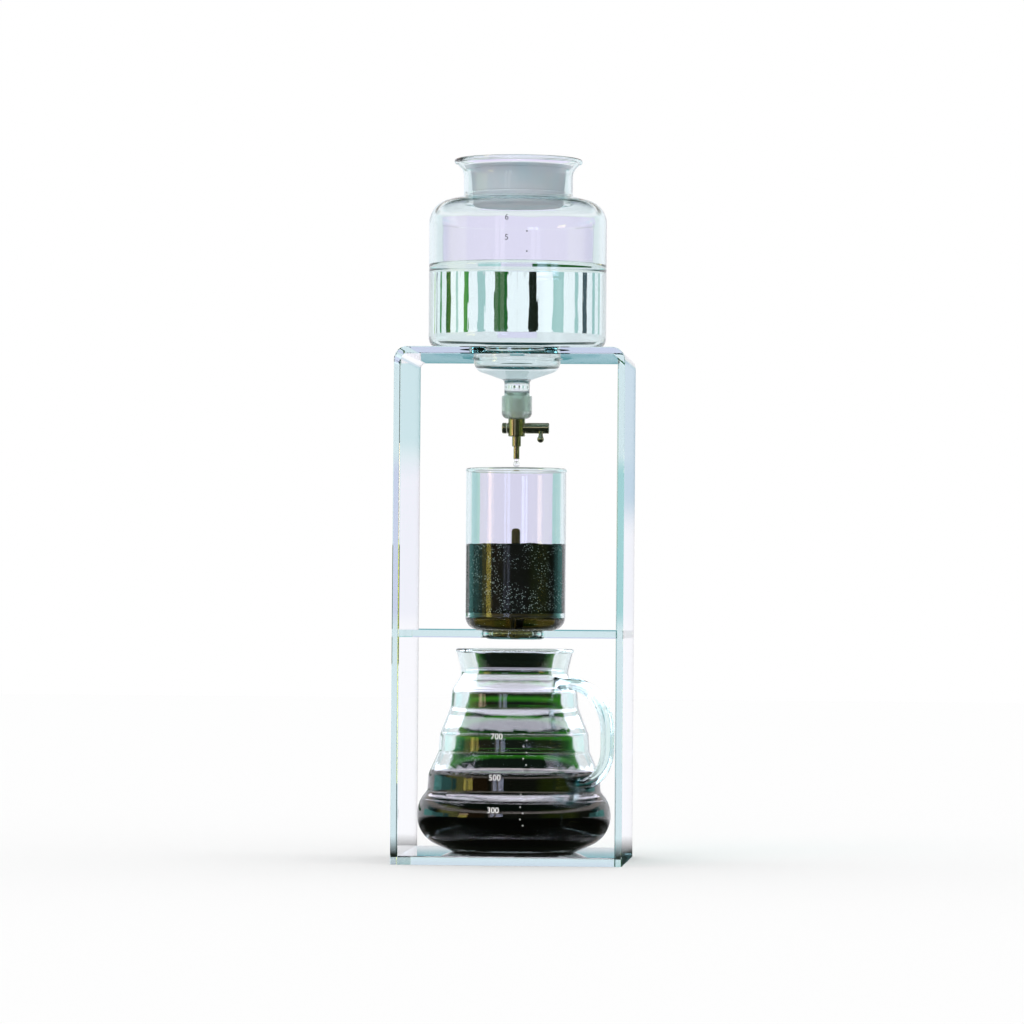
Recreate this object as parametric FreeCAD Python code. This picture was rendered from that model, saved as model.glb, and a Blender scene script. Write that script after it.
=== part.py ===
"""Cold drip coffee tower: an acrylic stand with a water jar, a coffee bowl and a jug, one above the other.

Water drips from the jar through a metering tap into the bowl, soaks through the ground coffee on the
strainer, and leaves through the bowl's drain into the jug.

Frame: millimetres, +Z up, front of the tower towards -Y, tap knob towards +X.
The origin is on the table, in the middle of the stand's footprint.
"""

import math
import os

import FreeCAD
import Part

Vector = FreeCAD.Vector
UP = Vector(0, 0, 1)
ALONG_X = Vector(1, 0, 0)
AXIS = Vector(0, 0, 0)

# ---------------------------------------------------------------- fits
SEAT_GAP = 0.3  # between a lift-off piece and the curved face that it drops into
RUNNING_GAP = 0.05  # radial clearance of a turning spindle in its bore

# ---------------------------------------------------------------- acrylic stand
SHEET = 5.0  # thickness of the bent frame and of the shelf
JUG_SIDE_GAP = 6.6  # from the jug's belly to each wall
JUG_END_GAP = 7.6  # from the jug's belly to the front and back of the base plate
BEND_INSIDE = 4.0  # inside radius of the two hot bends
BASE_THICKNESS = 6.0
EDGE_BREAK = 0.5  # polished chamfer along the sheet's cut edges
JUG_HEADROOM = 8.3  # from the jug's rim up to the shelf

# ---------------------------------------------------------------- glass jug and its handle
JUG_WALL = 2.2
JUG_HEIGHT = 140.7
JUG_WAIST_RADIUS = 36.5
JUG_LIP_FLARE = 4.4  # how far the lip reaches past the waist
JUG_WAIST_BELOW_RIM = 17.6
JUG_FOOT_RADIUS = 43.0
JUG_FOOT_CORNER = 6.0
JUG_BELLY_RADIUS = 67.4
JUG_BELLY_HEIGHT = 25.6  # of the widest place, above the base plate
JUG_BELLY_ROUNDING = 22.4  # radius of the belly's own curve
JUG_PUNT_RADIUS = 30.0
JUG_PUNT_RISE = 2.0
JUG_PUNT_ROUNDING = 4.0
JUG_STEP_SPREADS = (0.77, 0.518, 0.256)  # radius of each step, between the waist's and the belly's
JUG_STEP_PLACES = (0.17, 0.453, 0.767)  # height where it starts, between the belly and the waist
JUG_STEP_WALL = 12.0  # height of a step's nearly upright wall
JUG_STEP_LEAN = 0.9  # how much that wall leans inwards
JUG_GROOVE_CORNER = 5.0
JUG_RIDGE_CORNER = 9.0
LIP_BEAD = 1.6  # fire-polished bead on the rim of each vessel
HANDLE_WALL_GAP = 1.7  # the handle is turned forwards until it clears the stand's wall by this
HANDLE_PAST_BELLY = 16.6  # from the jug's widest circle to the middle of the grip
HANDLE_TOP_BELOW_RIM = 23.7
HANDLE_FOOT_IN_STEP = 6.0  # above the lower end of the lowest step
HANDLE_UPPER_BEND = 32.0
HANDLE_LOWER_BEND = 25.0
HANDLE_GRIP_RADIUS = 4.8
HANDLE_ROOT_RADIUS = 3.7
HANDLE_FUSED_SPREAD = 2.0  # how much the rod widens where it melts onto the jug
HANDLE_STATIONS = 17  # round sections along the rod
HANDLE_SWELL_POWER = 0.8  # under 1 keeps most of the rod as stout as the grip
HANDLE_SPREAD_POWER = 14  # the higher, the shorter the widened ends

# ---------------------------------------------------------------- coffee bowl
BOWL_WALL = 2.2
BOWL_RADIUS = 34.7
BOWL_HEIGHT = 112.4
BOWL_CORNER = 9.0
BOSS_INSET = 13.7  # from the bowl's wall in to the stepped boss that sits in the shelf's hole
BOSS_DEPTH = 6.5
BOSS_CORNER = 3.0
BOSS_HOLE_GAP = 1.0
DRAIN_RADIUS = 3.0

# ---------------------------------------------------------------- strainer
STRAINER_CLEARANCE = 1.0  # from its rim to the glass, bridged by the gasket
STRAINER_STANDOFF = 6.5
STRAINER_THICKNESS = 2.6
STRAINER_RIM = 2.6
GASKET_DEPTH = 0.9  # how far the gasket sits in the rim
STRAINER_HUB_RADIUS = 5.2
SPOKES = 8
SPOKE_WIDTH = 2.0
FEET = 4
FOOT_MARGIN = 0.6  # of flat floor left on each side of a foot
FOOT_TAPER = 0.5
MESH_THICKNESS = 0.4
MESH_RECESS = 0.9
MESH_FIT = 0.1
STEM_RADIUS = 3.0
STEM_SPIGOT_RADIUS = 1.8
STEM_TOP_ABOVE_SEAT = 70.6
STEM_FLANGE_HEIGHT = 3.2
STEM_FLANGE_EDGE = 0.6
STEM_COVE = 1.5
STEM_DOME = 2.2
GASKET_SECTION = 0.9

# ---------------------------------------------------------------- water jar
JAR_WALL = 2.2
JAR_RADIUS = 61.8
JAR_HEIGHT = 132.6  # from its seat on the stand to its rim
JAR_HEEL_RISE = 1.0  # the floor rises this much from the seat to the wall
JAR_HEEL_CORNER = 9.0
JAR_SEAT_WIDTH = 7.8  # flat ring round the sump that stands on the plate
JAR_SHOULDER_BELOW_RIM = 30.7
JAR_SHOULDER_CORNER = 16.3
JAR_SHOULDER_RISE = 6.2
JAR_WAIST_RADIUS = 37.9
JAR_WAIST_CORNER = 2.6
JAR_LIP_FLARE = 7.1  # how far the lip reaches past the waist
JAR_FLARE_HEIGHT = 7.0
JAR_FLARE_ROUNDING = 10.0
SUMP_RADIUS = 30.2
SUMP_DEPTH = 12.6
SUMP_CORNER = 8.0
SUMP_HOLE_GAP = 1.0
FUNNEL_FALL = 7.4
NECK_RADIUS = 8.8
NECK_FILLET = 3.0
NECK_DROP = 42.0  # from the jar's seat down to the end of its neck

# ---------------------------------------------------------------- jar lid
LID_WALL = 1.8
LID_BELOW_RIM = 2.6
LID_DEPTH = 27.6
LID_FOOT_GAP = 4.2  # from the foot of the lid's plug to the jar's waist
LID_TAPER = 1.8
LID_FLANGE_THICKNESS = 2.6
LID_RING_HEIGHT = 7.4  # of the ring round the plug's foot
LID_RING_PROUD = 0.4
LID_GROOVE_WIDTH = 0.8  # between that ring and the plug above it
LID_GROOVE_EDGE = 0.2
LID_CORNER = 3.0
LID_EDGE = 0.8
LID_FLANGE_EDGE = 0.3
LID_RIM_EDGE = 0.5

# ---------------------------------------------------------------- silicone joint between the neck and the tap
JOINT_SKIRT = 1.7
JOINT_HEIGHT = 15.8
JOINT_FLOOR = 4.7
JOINT_PLUG_ABOVE_SKIRT = 2.4
JOINT_CORNER = 4.2
JOINT_EDGE = 0.5
JOINT_FUNNEL_WALL = 0.8

# ---------------------------------------------------------------- metering tap
TAP_BODY_RADIUS = 6.0
TURNED_CHAMFER = 0.4  # on the turned metal edges
TAP_BOSS_RADIUS = 3.8
TAP_BOSS_OVERHANG = 0.3
TAP_STUB_RADIUS = 4.2
TAP_STUB_LENGTH = 13.6
TAP_BARBS = 3
TAP_BARB_DEPTH = 0.5
TAP_BARB_SHARE = 0.7  # of the pitch from barb to barb
TAP_BORE_RADIUS = 1.4
PORT_RADIUS = 1.1
SPINDLE_PLUG_RADIUS = 2.6
SPINDLE_AXIS_BELOW_TOP = 6.6
BORE_TO_SPIGOT = 0.75  # metal left between the spindle's bore and the nozzle's socket
KNOB_LENGTH = 16.2
TAIL_RADIUS = 1.5
CAP_LENGTH = 3.2
CAP_END_WALL = 1.0
CAP_ROUNDING = 1.0
WASHER_RADIUS = 3.3
WASHER_THICKNESS = 0.4
O_RING_SECTION = 1.0
O_RING_SPACING = 8.6
O_RING_SIDE_GAP = 0.1
METERING_NOTCH = 0.5
PIN_FROM_KNOB_END = 5.6
PIN_RADIUS = 1.3
PIN_COLLAR_RADIUS = 1.9
PIN_COLLAR_LENGTH = 2.0
PIN_COLLAR_SUNK = 0.6
PIN_BALL_RADIUS = 2.4
PIN_NECK_LENGTH = 1.9
PIN_NECK_SPREAD = 1.9  # radius where the neck meets the ball
PIN_REACH = 9.3  # from the spindle's axis to the middle of the ball
PIN_ANGLE = 57.0  # degrees below the front horizontal, where the tap drips slowly
NOZZLE_UPPER_RADIUS = 3.15
NOZZLE_UPPER_LENGTH = 7.0
NOZZLE_TUBE_RADIUS = 2.1
NOZZLE_TUBE_LENGTH = 8.6
NOZZLE_SPIGOT_RADIUS = 2.0
NOZZLE_SPIGOT_LENGTH = 2.4
NOZZLE_BORE_RADIUS = 1.0
NOZZLE_STEP_ROUNDING = 0.6
DRIP_GAP = 6.5  # from the bowl's rim up to the nozzle's tip

# ---------------------------------------------------------------- widths and heights that follow
STAND_WIDTH = 2 * (JUG_BELLY_RADIUS + JUG_SIDE_GAP + SHEET)
STAND_DEPTH = 2 * (JUG_BELLY_RADIUS + JUG_END_GAP)
BOSS_RADIUS = BOWL_RADIUS - BOSS_INSET
BASE_TOP = BASE_THICKNESS
JUG_RIM = BASE_TOP + JUG_HEIGHT
SHELF_BOTTOM = JUG_RIM + JUG_HEADROOM
SHELF_TOP = SHELF_BOTTOM + SHEET
BOWL_RIM = SHELF_TOP + BOWL_HEIGHT
NOZZLE_TIP = BOWL_RIM + DRIP_GAP
TAP_BOTTOM = NOZZLE_TIP + NOZZLE_TUBE_LENGTH + NOZZLE_UPPER_LENGTH
SPINDLE_Z = TAP_BOTTOM + NOZZLE_SPIGOT_LENGTH + BORE_TO_SPIGOT + SPINDLE_PLUG_RADIUS + RUNNING_GAP
TAP_TOP = SPINDLE_Z + SPINDLE_AXIS_BELOW_TOP
NECK_END = TAP_TOP + JOINT_FLOOR
JAR_SEAT = NECK_END + NECK_DROP
JAR_RIM = JAR_SEAT + JAR_HEIGHT
BOSS_END_X = TAP_BODY_RADIUS + TAP_BOSS_OVERHANG


# ---------------------------------------------------------------- outlines
RUN_SHARE = 0.98  # of a run that its two roundings may take
SMALLEST_ROUNDING = 0.4
SAME_POINT = 1e-4
STRAIGHT = 1e-9  # sine of a turn too small to be a corner


def point(radius, height):
    """A point of an outline, in the X-Z half plane."""
    return Vector(radius, 0, height)


def rounded_edges(corners):
    """Straight runs joined by tangent arcs, limited where the runs are short.

    Each corner is (radius, height, rounding).
    """
    spots = [point(r, z) for r, z, _ in corners]
    halves = [math.pi / 2] * len(spots)
    runs = [0.0] * len(spots)
    for i in range(1, len(spots) - 1):
        halves[i] = (spots[i - 1] - spots[i]).getAngle(spots[i + 1] - spots[i]) / 2
        runs[i] = corners[i][2] / math.tan(halves[i])
    for i in range(len(spots) - 1):
        room = spots[i].distanceToPoint(spots[i + 1]) * RUN_SHARE
        if runs[i] + runs[i + 1] > room:
            share = room / (runs[i] + runs[i + 1])
            runs[i] *= share
            runs[i + 1] *= share
    edges = []
    last = spots[0]
    for i in range(1, len(spots) - 1):
        if runs[i] < SAME_POINT:
            edges.append(Part.LineSegment(last, spots[i]).toShape())
            last = spots[i]
            continue
        back = (spots[i - 1] - spots[i]).normalize()
        ahead = (spots[i + 1] - spots[i]).normalize()
        start = spots[i] + back * runs[i]
        end = spots[i] + ahead * runs[i]
        rounding = runs[i] * math.tan(halves[i])
        middle = spots[i] + (back + ahead).normalize() * (rounding / math.sin(halves[i]) - rounding)
        edges.append(Part.LineSegment(last, start).toShape())
        edges.append(Part.Arc(start, middle, end).toShape())
        last = end
    edges.append(Part.LineSegment(last, spots[-1]).toShape())
    return edges


def moved_inside(corners, wall):
    """The same outline, one wall to the left of its direction, with its roundings changed to match."""
    spots = [point(r, z) for r, z, _ in corners]
    sides = []
    for a, b in zip(spots, spots[1:]):
        along = (b - a).normalize()
        sides.append((a, along, Vector(-along.z, 0, along.x)))
    inner = []
    for i, (_, _, rounding) in enumerate(corners):
        if i == 0 or i == len(spots) - 1:
            side = sides[0] if i == 0 else sides[-1]
            spot = spots[i] + side[2] * wall
        else:
            (_, along, across), (_, along_next, across_next) = sides[i - 1], sides[i]
            turn = along.x * along_next.z - along.z * along_next.x
            if abs(turn) < STRAIGHT:
                spot = spots[i] + across * wall
            else:
                # The mitre: the point that is one wall away from both sides.
                spot = spots[i] + (across + across_next) * (wall / (1 + across.dot(across_next)))
            if rounding:
                rounding = max(rounding - wall, SMALLEST_ROUNDING) if turn > 0 else rounding + wall
        inner.append((spot.x, spot.z, rounding))
    return inner


def lip(end, along, wall, bead):
    """A bulb on the end of a wall: its first, top and last point. The middle of the wall stops at end."""
    across = Vector(-along.z, 0, along.x)
    back = math.sqrt(max(bead**2 - (wall / 2) ** 2, 0))
    return (
        end - along * back - across * (wall / 2),
        end + along * bead,
        end - along * back + across * (wall / 2),
    )


def spun(edges):
    """A solid of revolution about Z from the edges of a closed outline."""
    wire = Part.Wire(Part.__sortEdges__(edges))
    return Part.Face(wire).revolve(AXIS, UP, 360)


def glass_vessel(corners, wall, bead):
    """An open vessel of even wall. The corners run along its outside from the bottom up to the rim's bead."""
    inner = moved_inside(corners, wall)
    along = (point(*corners[-1][:2]) - point(*corners[-2][:2])).normalize()
    middle = (point(*corners[-1][:2]) + point(*inner[-1][:2])) * 0.5
    first, top, last = lip(middle - along * bead, along, wall, bead)
    outer_run = corners[:-1] + [(first.x, first.z, 0)]
    inner_run = inner[:-1] + [(last.x, last.z, 0)]
    edges = rounded_edges(outer_run) + rounded_edges(inner_run)
    edges.append(Part.Arc(first, top, last).toShape())
    edges.append(Part.LineSegment(point(*inner[0][:2]), point(*corners[0][:2])).toShape())
    return spun(edges)


def filled(corners):
    """The solid that fills an outline from the axis outwards."""
    run = rounded_edges(corners)
    closing = [
        point(*corners[-1][:2]),
        point(0, corners[-1][1]),
        point(0, corners[0][1]),
        point(*corners[0][:2]),
    ]
    for a, b in zip(closing, closing[1:]):
        if a.distanceToPoint(b) > SAME_POINT:
            run.append(Part.LineSegment(a, b).toShape())
    return spun(run)


def cylinder(radius, bottom, top):
    """An upright cylinder on the Z axis."""
    return Part.makeCylinder(radius, top - bottom, Vector(0, 0, bottom), UP)


def across_x(radius, start, end):
    """A cylinder on the spindle's axis, from start to end along X."""
    return Part.makeCylinder(radius, end - start, Vector(start, 0, SPINDLE_Z), ALONG_X)


def round_edges(shape):
    """The edges of a shape that are whole circles."""
    return [edge for edge in shape.Edges if isinstance(edge.Curve, Part.Circle)]


def ring_on_x(section, mean_radius, x):
    """A torus round the spindle's axis."""
    return Part.makeTorus(mean_radius, section / 2, Vector(x, 0, SPINDLE_Z), ALONG_X)


# ---------------------------------------------------------------- stand
def stand_frame():
    """Two side walls and the top plate, bent from one sheet, with the round hole for the jar's sump."""
    half = STAND_WIDTH / 2
    outside = BEND_INSIDE + SHEET
    outer = [(half, 0, 0), (half, JAR_SEAT, outside), (-half, JAR_SEAT, outside), (-half, 0, 0)]
    inner = moved_inside(outer, SHEET)
    edges = rounded_edges(outer) + rounded_edges(inner)
    for a, b in ((outer[0], inner[0]), (outer[-1], inner[-1])):
        edges.append(Part.LineSegment(point(*a[:2]), point(*b[:2])).toShape())
    face = Part.Face(Part.Wire(Part.__sortEdges__(edges)))
    face.translate(Vector(0, -STAND_DEPTH / 2, 0))
    sheet = face.extrude(Vector(0, STAND_DEPTH, 0))
    cut_ends = [
        edge
        for edge in sheet.Edges
        if abs(abs(edge.CenterOfMass.y) - STAND_DEPTH / 2) < SAME_POINT
        and abs(edge.Vertexes[0].Z - edge.Vertexes[-1].Z) + edge.CenterOfMass.z > 1
    ]
    sheet = sheet.makeChamfer(EDGE_BREAK, cut_ends)
    hole = cylinder(SUMP_RADIUS + SUMP_HOLE_GAP, JAR_SEAT - 2 * SHEET, JAR_SEAT + SHEET)
    return with_broken_rim(sheet.cut(hole), SUMP_RADIUS + SUMP_HOLE_GAP, (JAR_SEAT, JAR_SEAT - SHEET))


def with_broken_rim(plate, radius, heights):
    """Chamfers the round edges of that radius at those heights."""
    rims = [
        edge
        for edge in round_edges(plate)
        if abs(edge.Curve.Radius - radius) < SAME_POINT
        and min(abs(edge.CenterOfMass.z - z) for z in heights) < SAME_POINT
    ]
    return plate.makeChamfer(EDGE_BREAK, rims)


def shelf_plate():
    """The shelf between the walls, with the hole that the bowl's boss sits in."""
    width = STAND_WIDTH - 2 * SHEET
    plate = Part.makeBox(width, STAND_DEPTH, SHEET, Vector(-width / 2, -STAND_DEPTH / 2, SHELF_BOTTOM))
    hole = cylinder(BOSS_RADIUS + BOSS_HOLE_GAP, SHELF_BOTTOM - 1, SHELF_TOP + 1)
    return with_broken_rim(plate.cut(hole), BOSS_RADIUS + BOSS_HOLE_GAP, (SHELF_BOTTOM, SHELF_TOP))


def base_plate():
    """The thick plate that the jug stands on, glued between the feet of the walls."""
    width = STAND_WIDTH - 2 * SHEET
    plate = Part.makeBox(width, STAND_DEPTH, BASE_THICKNESS, Vector(-width / 2, -STAND_DEPTH / 2, 0))
    long_edges = [
        edge
        for edge in plate.Edges
        if abs(edge.Vertexes[0].X - edge.Vertexes[-1].X) > 1 and edge.CenterOfMass.z > 1
    ]
    return plate.makeChamfer(EDGE_BREAK, long_edges)


# ---------------------------------------------------------------- jug
JUG_WAIST_Z = JUG_RIM - JUG_WAIST_BELOW_RIM
JUG_BELLY_Z = BASE_TOP + JUG_BELLY_HEIGHT
JUG_STEPS = [
    (
        JUG_WAIST_RADIUS + spread * (JUG_BELLY_RADIUS - JUG_WAIST_RADIUS),
        JUG_BELLY_Z + place * (JUG_WAIST_Z - JUG_BELLY_Z),
    )
    for spread, place in zip(JUG_STEP_SPREADS, JUG_STEP_PLACES)
]
HANDLE_TOP = JUG_RIM - HANDLE_TOP_BELOW_RIM
HANDLE_FOOT = JUG_STEPS[0][1] + HANDLE_FOOT_IN_STEP
HANDLE_REACH = JUG_BELLY_RADIUS + HANDLE_PAST_BELLY
HANDLE_FURTHEST_X = STAND_WIDTH / 2 - SHEET - HANDLE_WALL_GAP - HANDLE_GRIP_RADIUS
HANDLE_AZIMUTH = -math.degrees(math.acos(min(1, HANDLE_FURTHEST_X / HANDLE_REACH)))


def corner_round(centre, rounding, before, after):
    """The sharp corner of two lines, from before and to after, that both touch the outer side of a circle."""
    directions = []
    for spot, side in ((before, -1), (after, 1)):
        towards = centre - spot
        lean = math.atan2(towards.z, towards.x) + side * math.asin(rounding / towards.Length)
        directions.append(Vector(math.cos(lean), 0, math.sin(lean)))
    first, second = directions
    gap = after - before
    reach = (gap.x * second.z - gap.z * second.x) / (first.x * second.z - first.z * second.x)
    return before + first * reach


def jug_outline():
    """The jug's outside, from the middle of its foot: wide belly, three waisted steps, waist, flared lip."""
    centre = point(JUG_BELLY_RADIUS - JUG_BELLY_ROUNDING, JUG_BELLY_Z)
    foot = point(JUG_FOOT_RADIUS, BASE_TOP)
    belly = corner_round(centre, JUG_BELLY_ROUNDING, foot, point(*JUG_STEPS[0]))
    corners = [
        (0, BASE_TOP + JUG_PUNT_RISE, 0),
        (JUG_PUNT_RADIUS, BASE_TOP + JUG_PUNT_RISE, JUG_PUNT_ROUNDING),
        (JUG_PUNT_RADIUS + 2 * JUG_PUNT_RISE, BASE_TOP, JUG_PUNT_ROUNDING),
        (foot.x, foot.z, JUG_FOOT_CORNER),
        (belly.x, belly.z, JUG_BELLY_ROUNDING),
    ]
    for radius, height in JUG_STEPS:
        corners.append((radius, height, JUG_GROOVE_CORNER))
        corners.append((radius - JUG_STEP_LEAN, height + JUG_STEP_WALL, JUG_RIDGE_CORNER))
    corners.append((JUG_WAIST_RADIUS, JUG_WAIST_Z, JUG_RIDGE_CORNER))
    corners.append((JUG_WAIST_RADIUS + JUG_LIP_FLARE, JUG_RIM, 0))
    return corners


def server_jug():
    """The blown glass jug, of even wall, with a fire-polished lip."""
    return glass_vessel(jug_outline(), JUG_WALL, LIP_BEAD)


def handle_runs():
    """The straight runs and quarter bends of the handle's middle line, from its upper root to the lower."""
    top_root = JUG_WAIST_RADIUS - JUG_WALL
    foot_root = JUG_STEPS[0][0] - 2 * JUG_WALL
    drop = HANDLE_TOP - HANDLE_FOOT
    squeeze = min(1, RUN_SHARE * drop / (HANDLE_UPPER_BEND + HANDLE_LOWER_BEND))
    upper = HANDLE_UPPER_BEND * squeeze
    lower = HANDLE_LOWER_BEND * squeeze
    return [
        ("run", point(top_root, HANDLE_TOP), ALONG_X, HANDLE_REACH - upper - top_root),
        ("bend", point(HANDLE_REACH - upper, HANDLE_TOP - upper), UP, upper),
        ("run", point(HANDLE_REACH, HANDLE_TOP - upper), -UP, drop - upper - lower),
        ("bend", point(HANDLE_REACH - lower, HANDLE_FOOT + lower), ALONG_X, lower),
        ("run", point(HANDLE_REACH - lower, HANDLE_FOOT), -ALONG_X, HANDLE_REACH - lower - foot_root),
    ]


def handle_spot(share):
    """The point and direction of the handle's middle line at a share of its length from the upper root."""
    pieces = handle_runs()
    lengths = [size * math.pi / 2 if kind == "bend" else size for kind, _, _, size in pieces]
    at = share * sum(lengths)
    for (kind, spot, aim, size), length in zip(pieces, lengths):
        if at > length + SAME_POINT:
            at -= length
            continue
        if kind == "run":
            return spot + aim * at, aim
        turn = at / size
        # A bend turns clockwise about its centre, from its aim.
        clockwise = Vector(aim.z, 0, -aim.x)
        out = aim * math.cos(turn) + clockwise * math.sin(turn)
        return spot + out * size, clockwise * math.cos(turn) - aim * math.sin(turn)
    raise ValueError("past the end of the handle")


def server_handle():
    """The glass rod handle: stout at the grip, slimmer towards the jug, and spread where it is fused on."""
    sections = []
    for i in range(HANDLE_STATIONS):
        share = i / (HANDLE_STATIONS - 1)
        spot, aim = handle_spot(share)
        swell = math.sin(math.pi * share) ** HANDLE_SWELL_POWER
        spread = HANDLE_FUSED_SPREAD * abs(2 * share - 1) ** HANDLE_SPREAD_POWER
        radius = HANDLE_ROOT_RADIUS + (HANDLE_GRIP_RADIUS - HANDLE_ROOT_RADIUS) * swell + spread
        sections.append(Part.Wire(Part.Circle(spot, aim, radius).toShape()))
    rod = Part.makeLoft(sections, True)
    rod = rod.cut(filled(jug_outline()))
    rod.rotate(AXIS, UP, HANDLE_AZIMUTH)
    return rod


# ---------------------------------------------------------------- bowl
def bowl_outline():
    """The bowl's outside, from the drain up to the rim."""
    return [
        (DRAIN_RADIUS + BOWL_WALL, SHELF_TOP - BOSS_DEPTH, 0),
        (BOSS_RADIUS, SHELF_TOP - BOSS_DEPTH, BOSS_CORNER),
        (BOSS_RADIUS, SHELF_TOP, BOSS_HOLE_GAP),
        (BOWL_RADIUS, SHELF_TOP, BOWL_CORNER),
        (BOWL_RADIUS, BOWL_RIM, 0),
    ]


def coffee_bowl():
    """A straight glass beaker with a stepped boss under it and a drain in the middle of the boss."""
    outline = bowl_outline()
    outline[0] = (0, outline[0][1], 0)
    vessel = glass_vessel(outline, BOWL_WALL, LIP_BEAD)
    return vessel.cut(cylinder(DRAIN_RADIUS, SHELF_BOTTOM - BOSS_DEPTH, SHELF_TOP))


# ---------------------------------------------------------------- strainer
BOWL_FLOOR = SHELF_TOP + BOWL_WALL
FLOOR_RING = (BOSS_RADIUS + BOSS_HOLE_GAP, BOWL_RADIUS - BOWL_CORNER)  # where the bowl's floor is flat
FOOT_CIRCLE = sum(FLOOR_RING) / 2
FOOT_RADIUS = max(FLOOR_RING[1] - FLOOR_RING[0], 0) / 2 - FOOT_MARGIN
STRAINER_RADIUS = BOWL_RADIUS - BOWL_WALL - STRAINER_CLEARANCE
STRAINER_BOTTOM = BOWL_FLOOR + STRAINER_STANDOFF
STRAINER_TOP = STRAINER_BOTTOM + STRAINER_THICKNESS
GASKET_MIDDLE = STRAINER_BOTTOM + STRAINER_THICKNESS / 2 - MESH_RECESS / 2
GASKET_PROUD = STRAINER_CLEARANCE - SEAT_GAP


def gasket_ring():
    """The ring that sits in the strainer's rim and reaches almost to the glass, rounded on the outside."""
    inside = STRAINER_RADIUS - GASKET_DEPTH
    reach = STRAINER_RADIUS + GASKET_PROUD
    half = GASKET_SECTION / 2
    start = point(inside, GASKET_MIDDLE - half)
    low = point(reach - half, GASKET_MIDDLE - half)
    high = point(reach - half, GASKET_MIDDLE + half)
    end = point(inside, GASKET_MIDDLE + half)
    return spun(
        [
            Part.LineSegment(start, low).toShape(),
            Part.Arc(low, point(reach, GASKET_MIDDLE), high).toShape(),
            Part.LineSegment(high, end).toShape(),
            Part.LineSegment(end, start).toShape(),
        ]
    )


def strainer_disc():
    """The moulded strainer: a rim and a hub joined by spokes, a recess for the mesh, and short feet."""
    rim = cylinder(STRAINER_RADIUS, STRAINER_BOTTOM, STRAINER_TOP)
    rim = rim.cut(cylinder(STRAINER_RADIUS - STRAINER_RIM, STRAINER_BOTTOM, STRAINER_TOP))
    hub = cylinder(STRAINER_HUB_RADIUS, STRAINER_BOTTOM, STRAINER_TOP - MESH_RECESS)
    body = rim.fuse(hub)
    spoke_height = STRAINER_THICKNESS - MESH_RECESS
    for i in range(SPOKES):
        spoke = Part.makeBox(
            STRAINER_RADIUS - STRAINER_RIM / 2,
            SPOKE_WIDTH,
            spoke_height,
            Vector(0, -SPOKE_WIDTH / 2, STRAINER_BOTTOM),
        )
        spoke.rotate(AXIS, UP, 360 * i / SPOKES)
        body = body.fuse(spoke)
    for i in range(FEET):
        foot = Part.makeCone(
            FOOT_RADIUS, FOOT_RADIUS + FOOT_TAPER, STRAINER_STANDOFF, Vector(FOOT_CIRCLE, 0, BOWL_FLOOR), UP
        )
        foot.rotate(AXIS, UP, 360 * i / FEET)
        body = body.fuse(foot)
    body = body.cut(cylinder(STEM_SPIGOT_RADIUS, STRAINER_BOTTOM - 1, STRAINER_TOP + 1))
    return body.cut(gasket_ring()).removeSplitter()


def strainer_gasket():
    """The silicone ring in the rim's groove, which closes the gap to the glass."""
    return gasket_ring()


def strainer_mesh():
    """The fine polyester filter cloth that lies in the strainer's recess, round the stem."""
    bottom = STRAINER_TOP - MESH_RECESS
    disc = cylinder(STRAINER_RADIUS - STRAINER_RIM - MESH_FIT, bottom, bottom + MESH_THICKNESS)
    return disc.cut(cylinder(STEM_SPIGOT_RADIUS, bottom - 1, bottom + 1))


def strainer_stem():
    """The rod that lifts the strainer out, with a domed top, a flange on the mesh and a spigot in the hub."""
    foot = STRAINER_TOP - MESH_RECESS + MESH_THICKNESS
    top = SHELF_TOP + STEM_TOP_ABOVE_SEAT
    outline = [
        (STEM_SPIGOT_RADIUS, STRAINER_BOTTOM, 0),
        (STEM_SPIGOT_RADIUS, foot, 0),
        (STRAINER_HUB_RADIUS, foot, 0),
        (STRAINER_HUB_RADIUS, foot + STEM_FLANGE_HEIGHT / 3, STEM_FLANGE_EDGE),
        (STEM_RADIUS, foot + STEM_FLANGE_HEIGHT, STEM_COVE),
        (STEM_RADIUS, top, STEM_DOME),
        (0, top, 0),
    ]
    return filled(outline)


# ---------------------------------------------------------------- water jar
def jar_outline():
    """The jar's outside, from the end of its neck: funnel, sump, seat, wall, shoulder, waist, flared lip."""
    neck_top = JAR_SEAT - SUMP_DEPTH - FUNNEL_FALL
    shoulder = JAR_RIM - JAR_SHOULDER_BELOW_RIM
    return [
        (NECK_RADIUS, NECK_END, 0),
        (NECK_RADIUS, neck_top, NECK_FILLET),
        (SUMP_RADIUS, JAR_SEAT - SUMP_DEPTH, SUMP_CORNER),
        (SUMP_RADIUS, JAR_SEAT, SUMP_HOLE_GAP),
        (SUMP_RADIUS + JAR_SEAT_WIDTH, JAR_SEAT, 0),
        (JAR_RADIUS, JAR_SEAT + JAR_HEEL_RISE, JAR_HEEL_CORNER),
        (JAR_RADIUS, shoulder, JAR_SHOULDER_CORNER),
        (JAR_WAIST_RADIUS, shoulder + JAR_SHOULDER_RISE, JAR_WAIST_CORNER),
        (JAR_WAIST_RADIUS, JAR_RIM - JAR_FLARE_HEIGHT, JAR_FLARE_ROUNDING),
        (JAR_WAIST_RADIUS + JAR_LIP_FLARE, JAR_RIM, 0),
    ]


def water_jar():
    """The glass jar, open at its mouth and at the end of its neck."""
    return glass_vessel(jar_outline(), JAR_WALL, LIP_BEAD)


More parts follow.
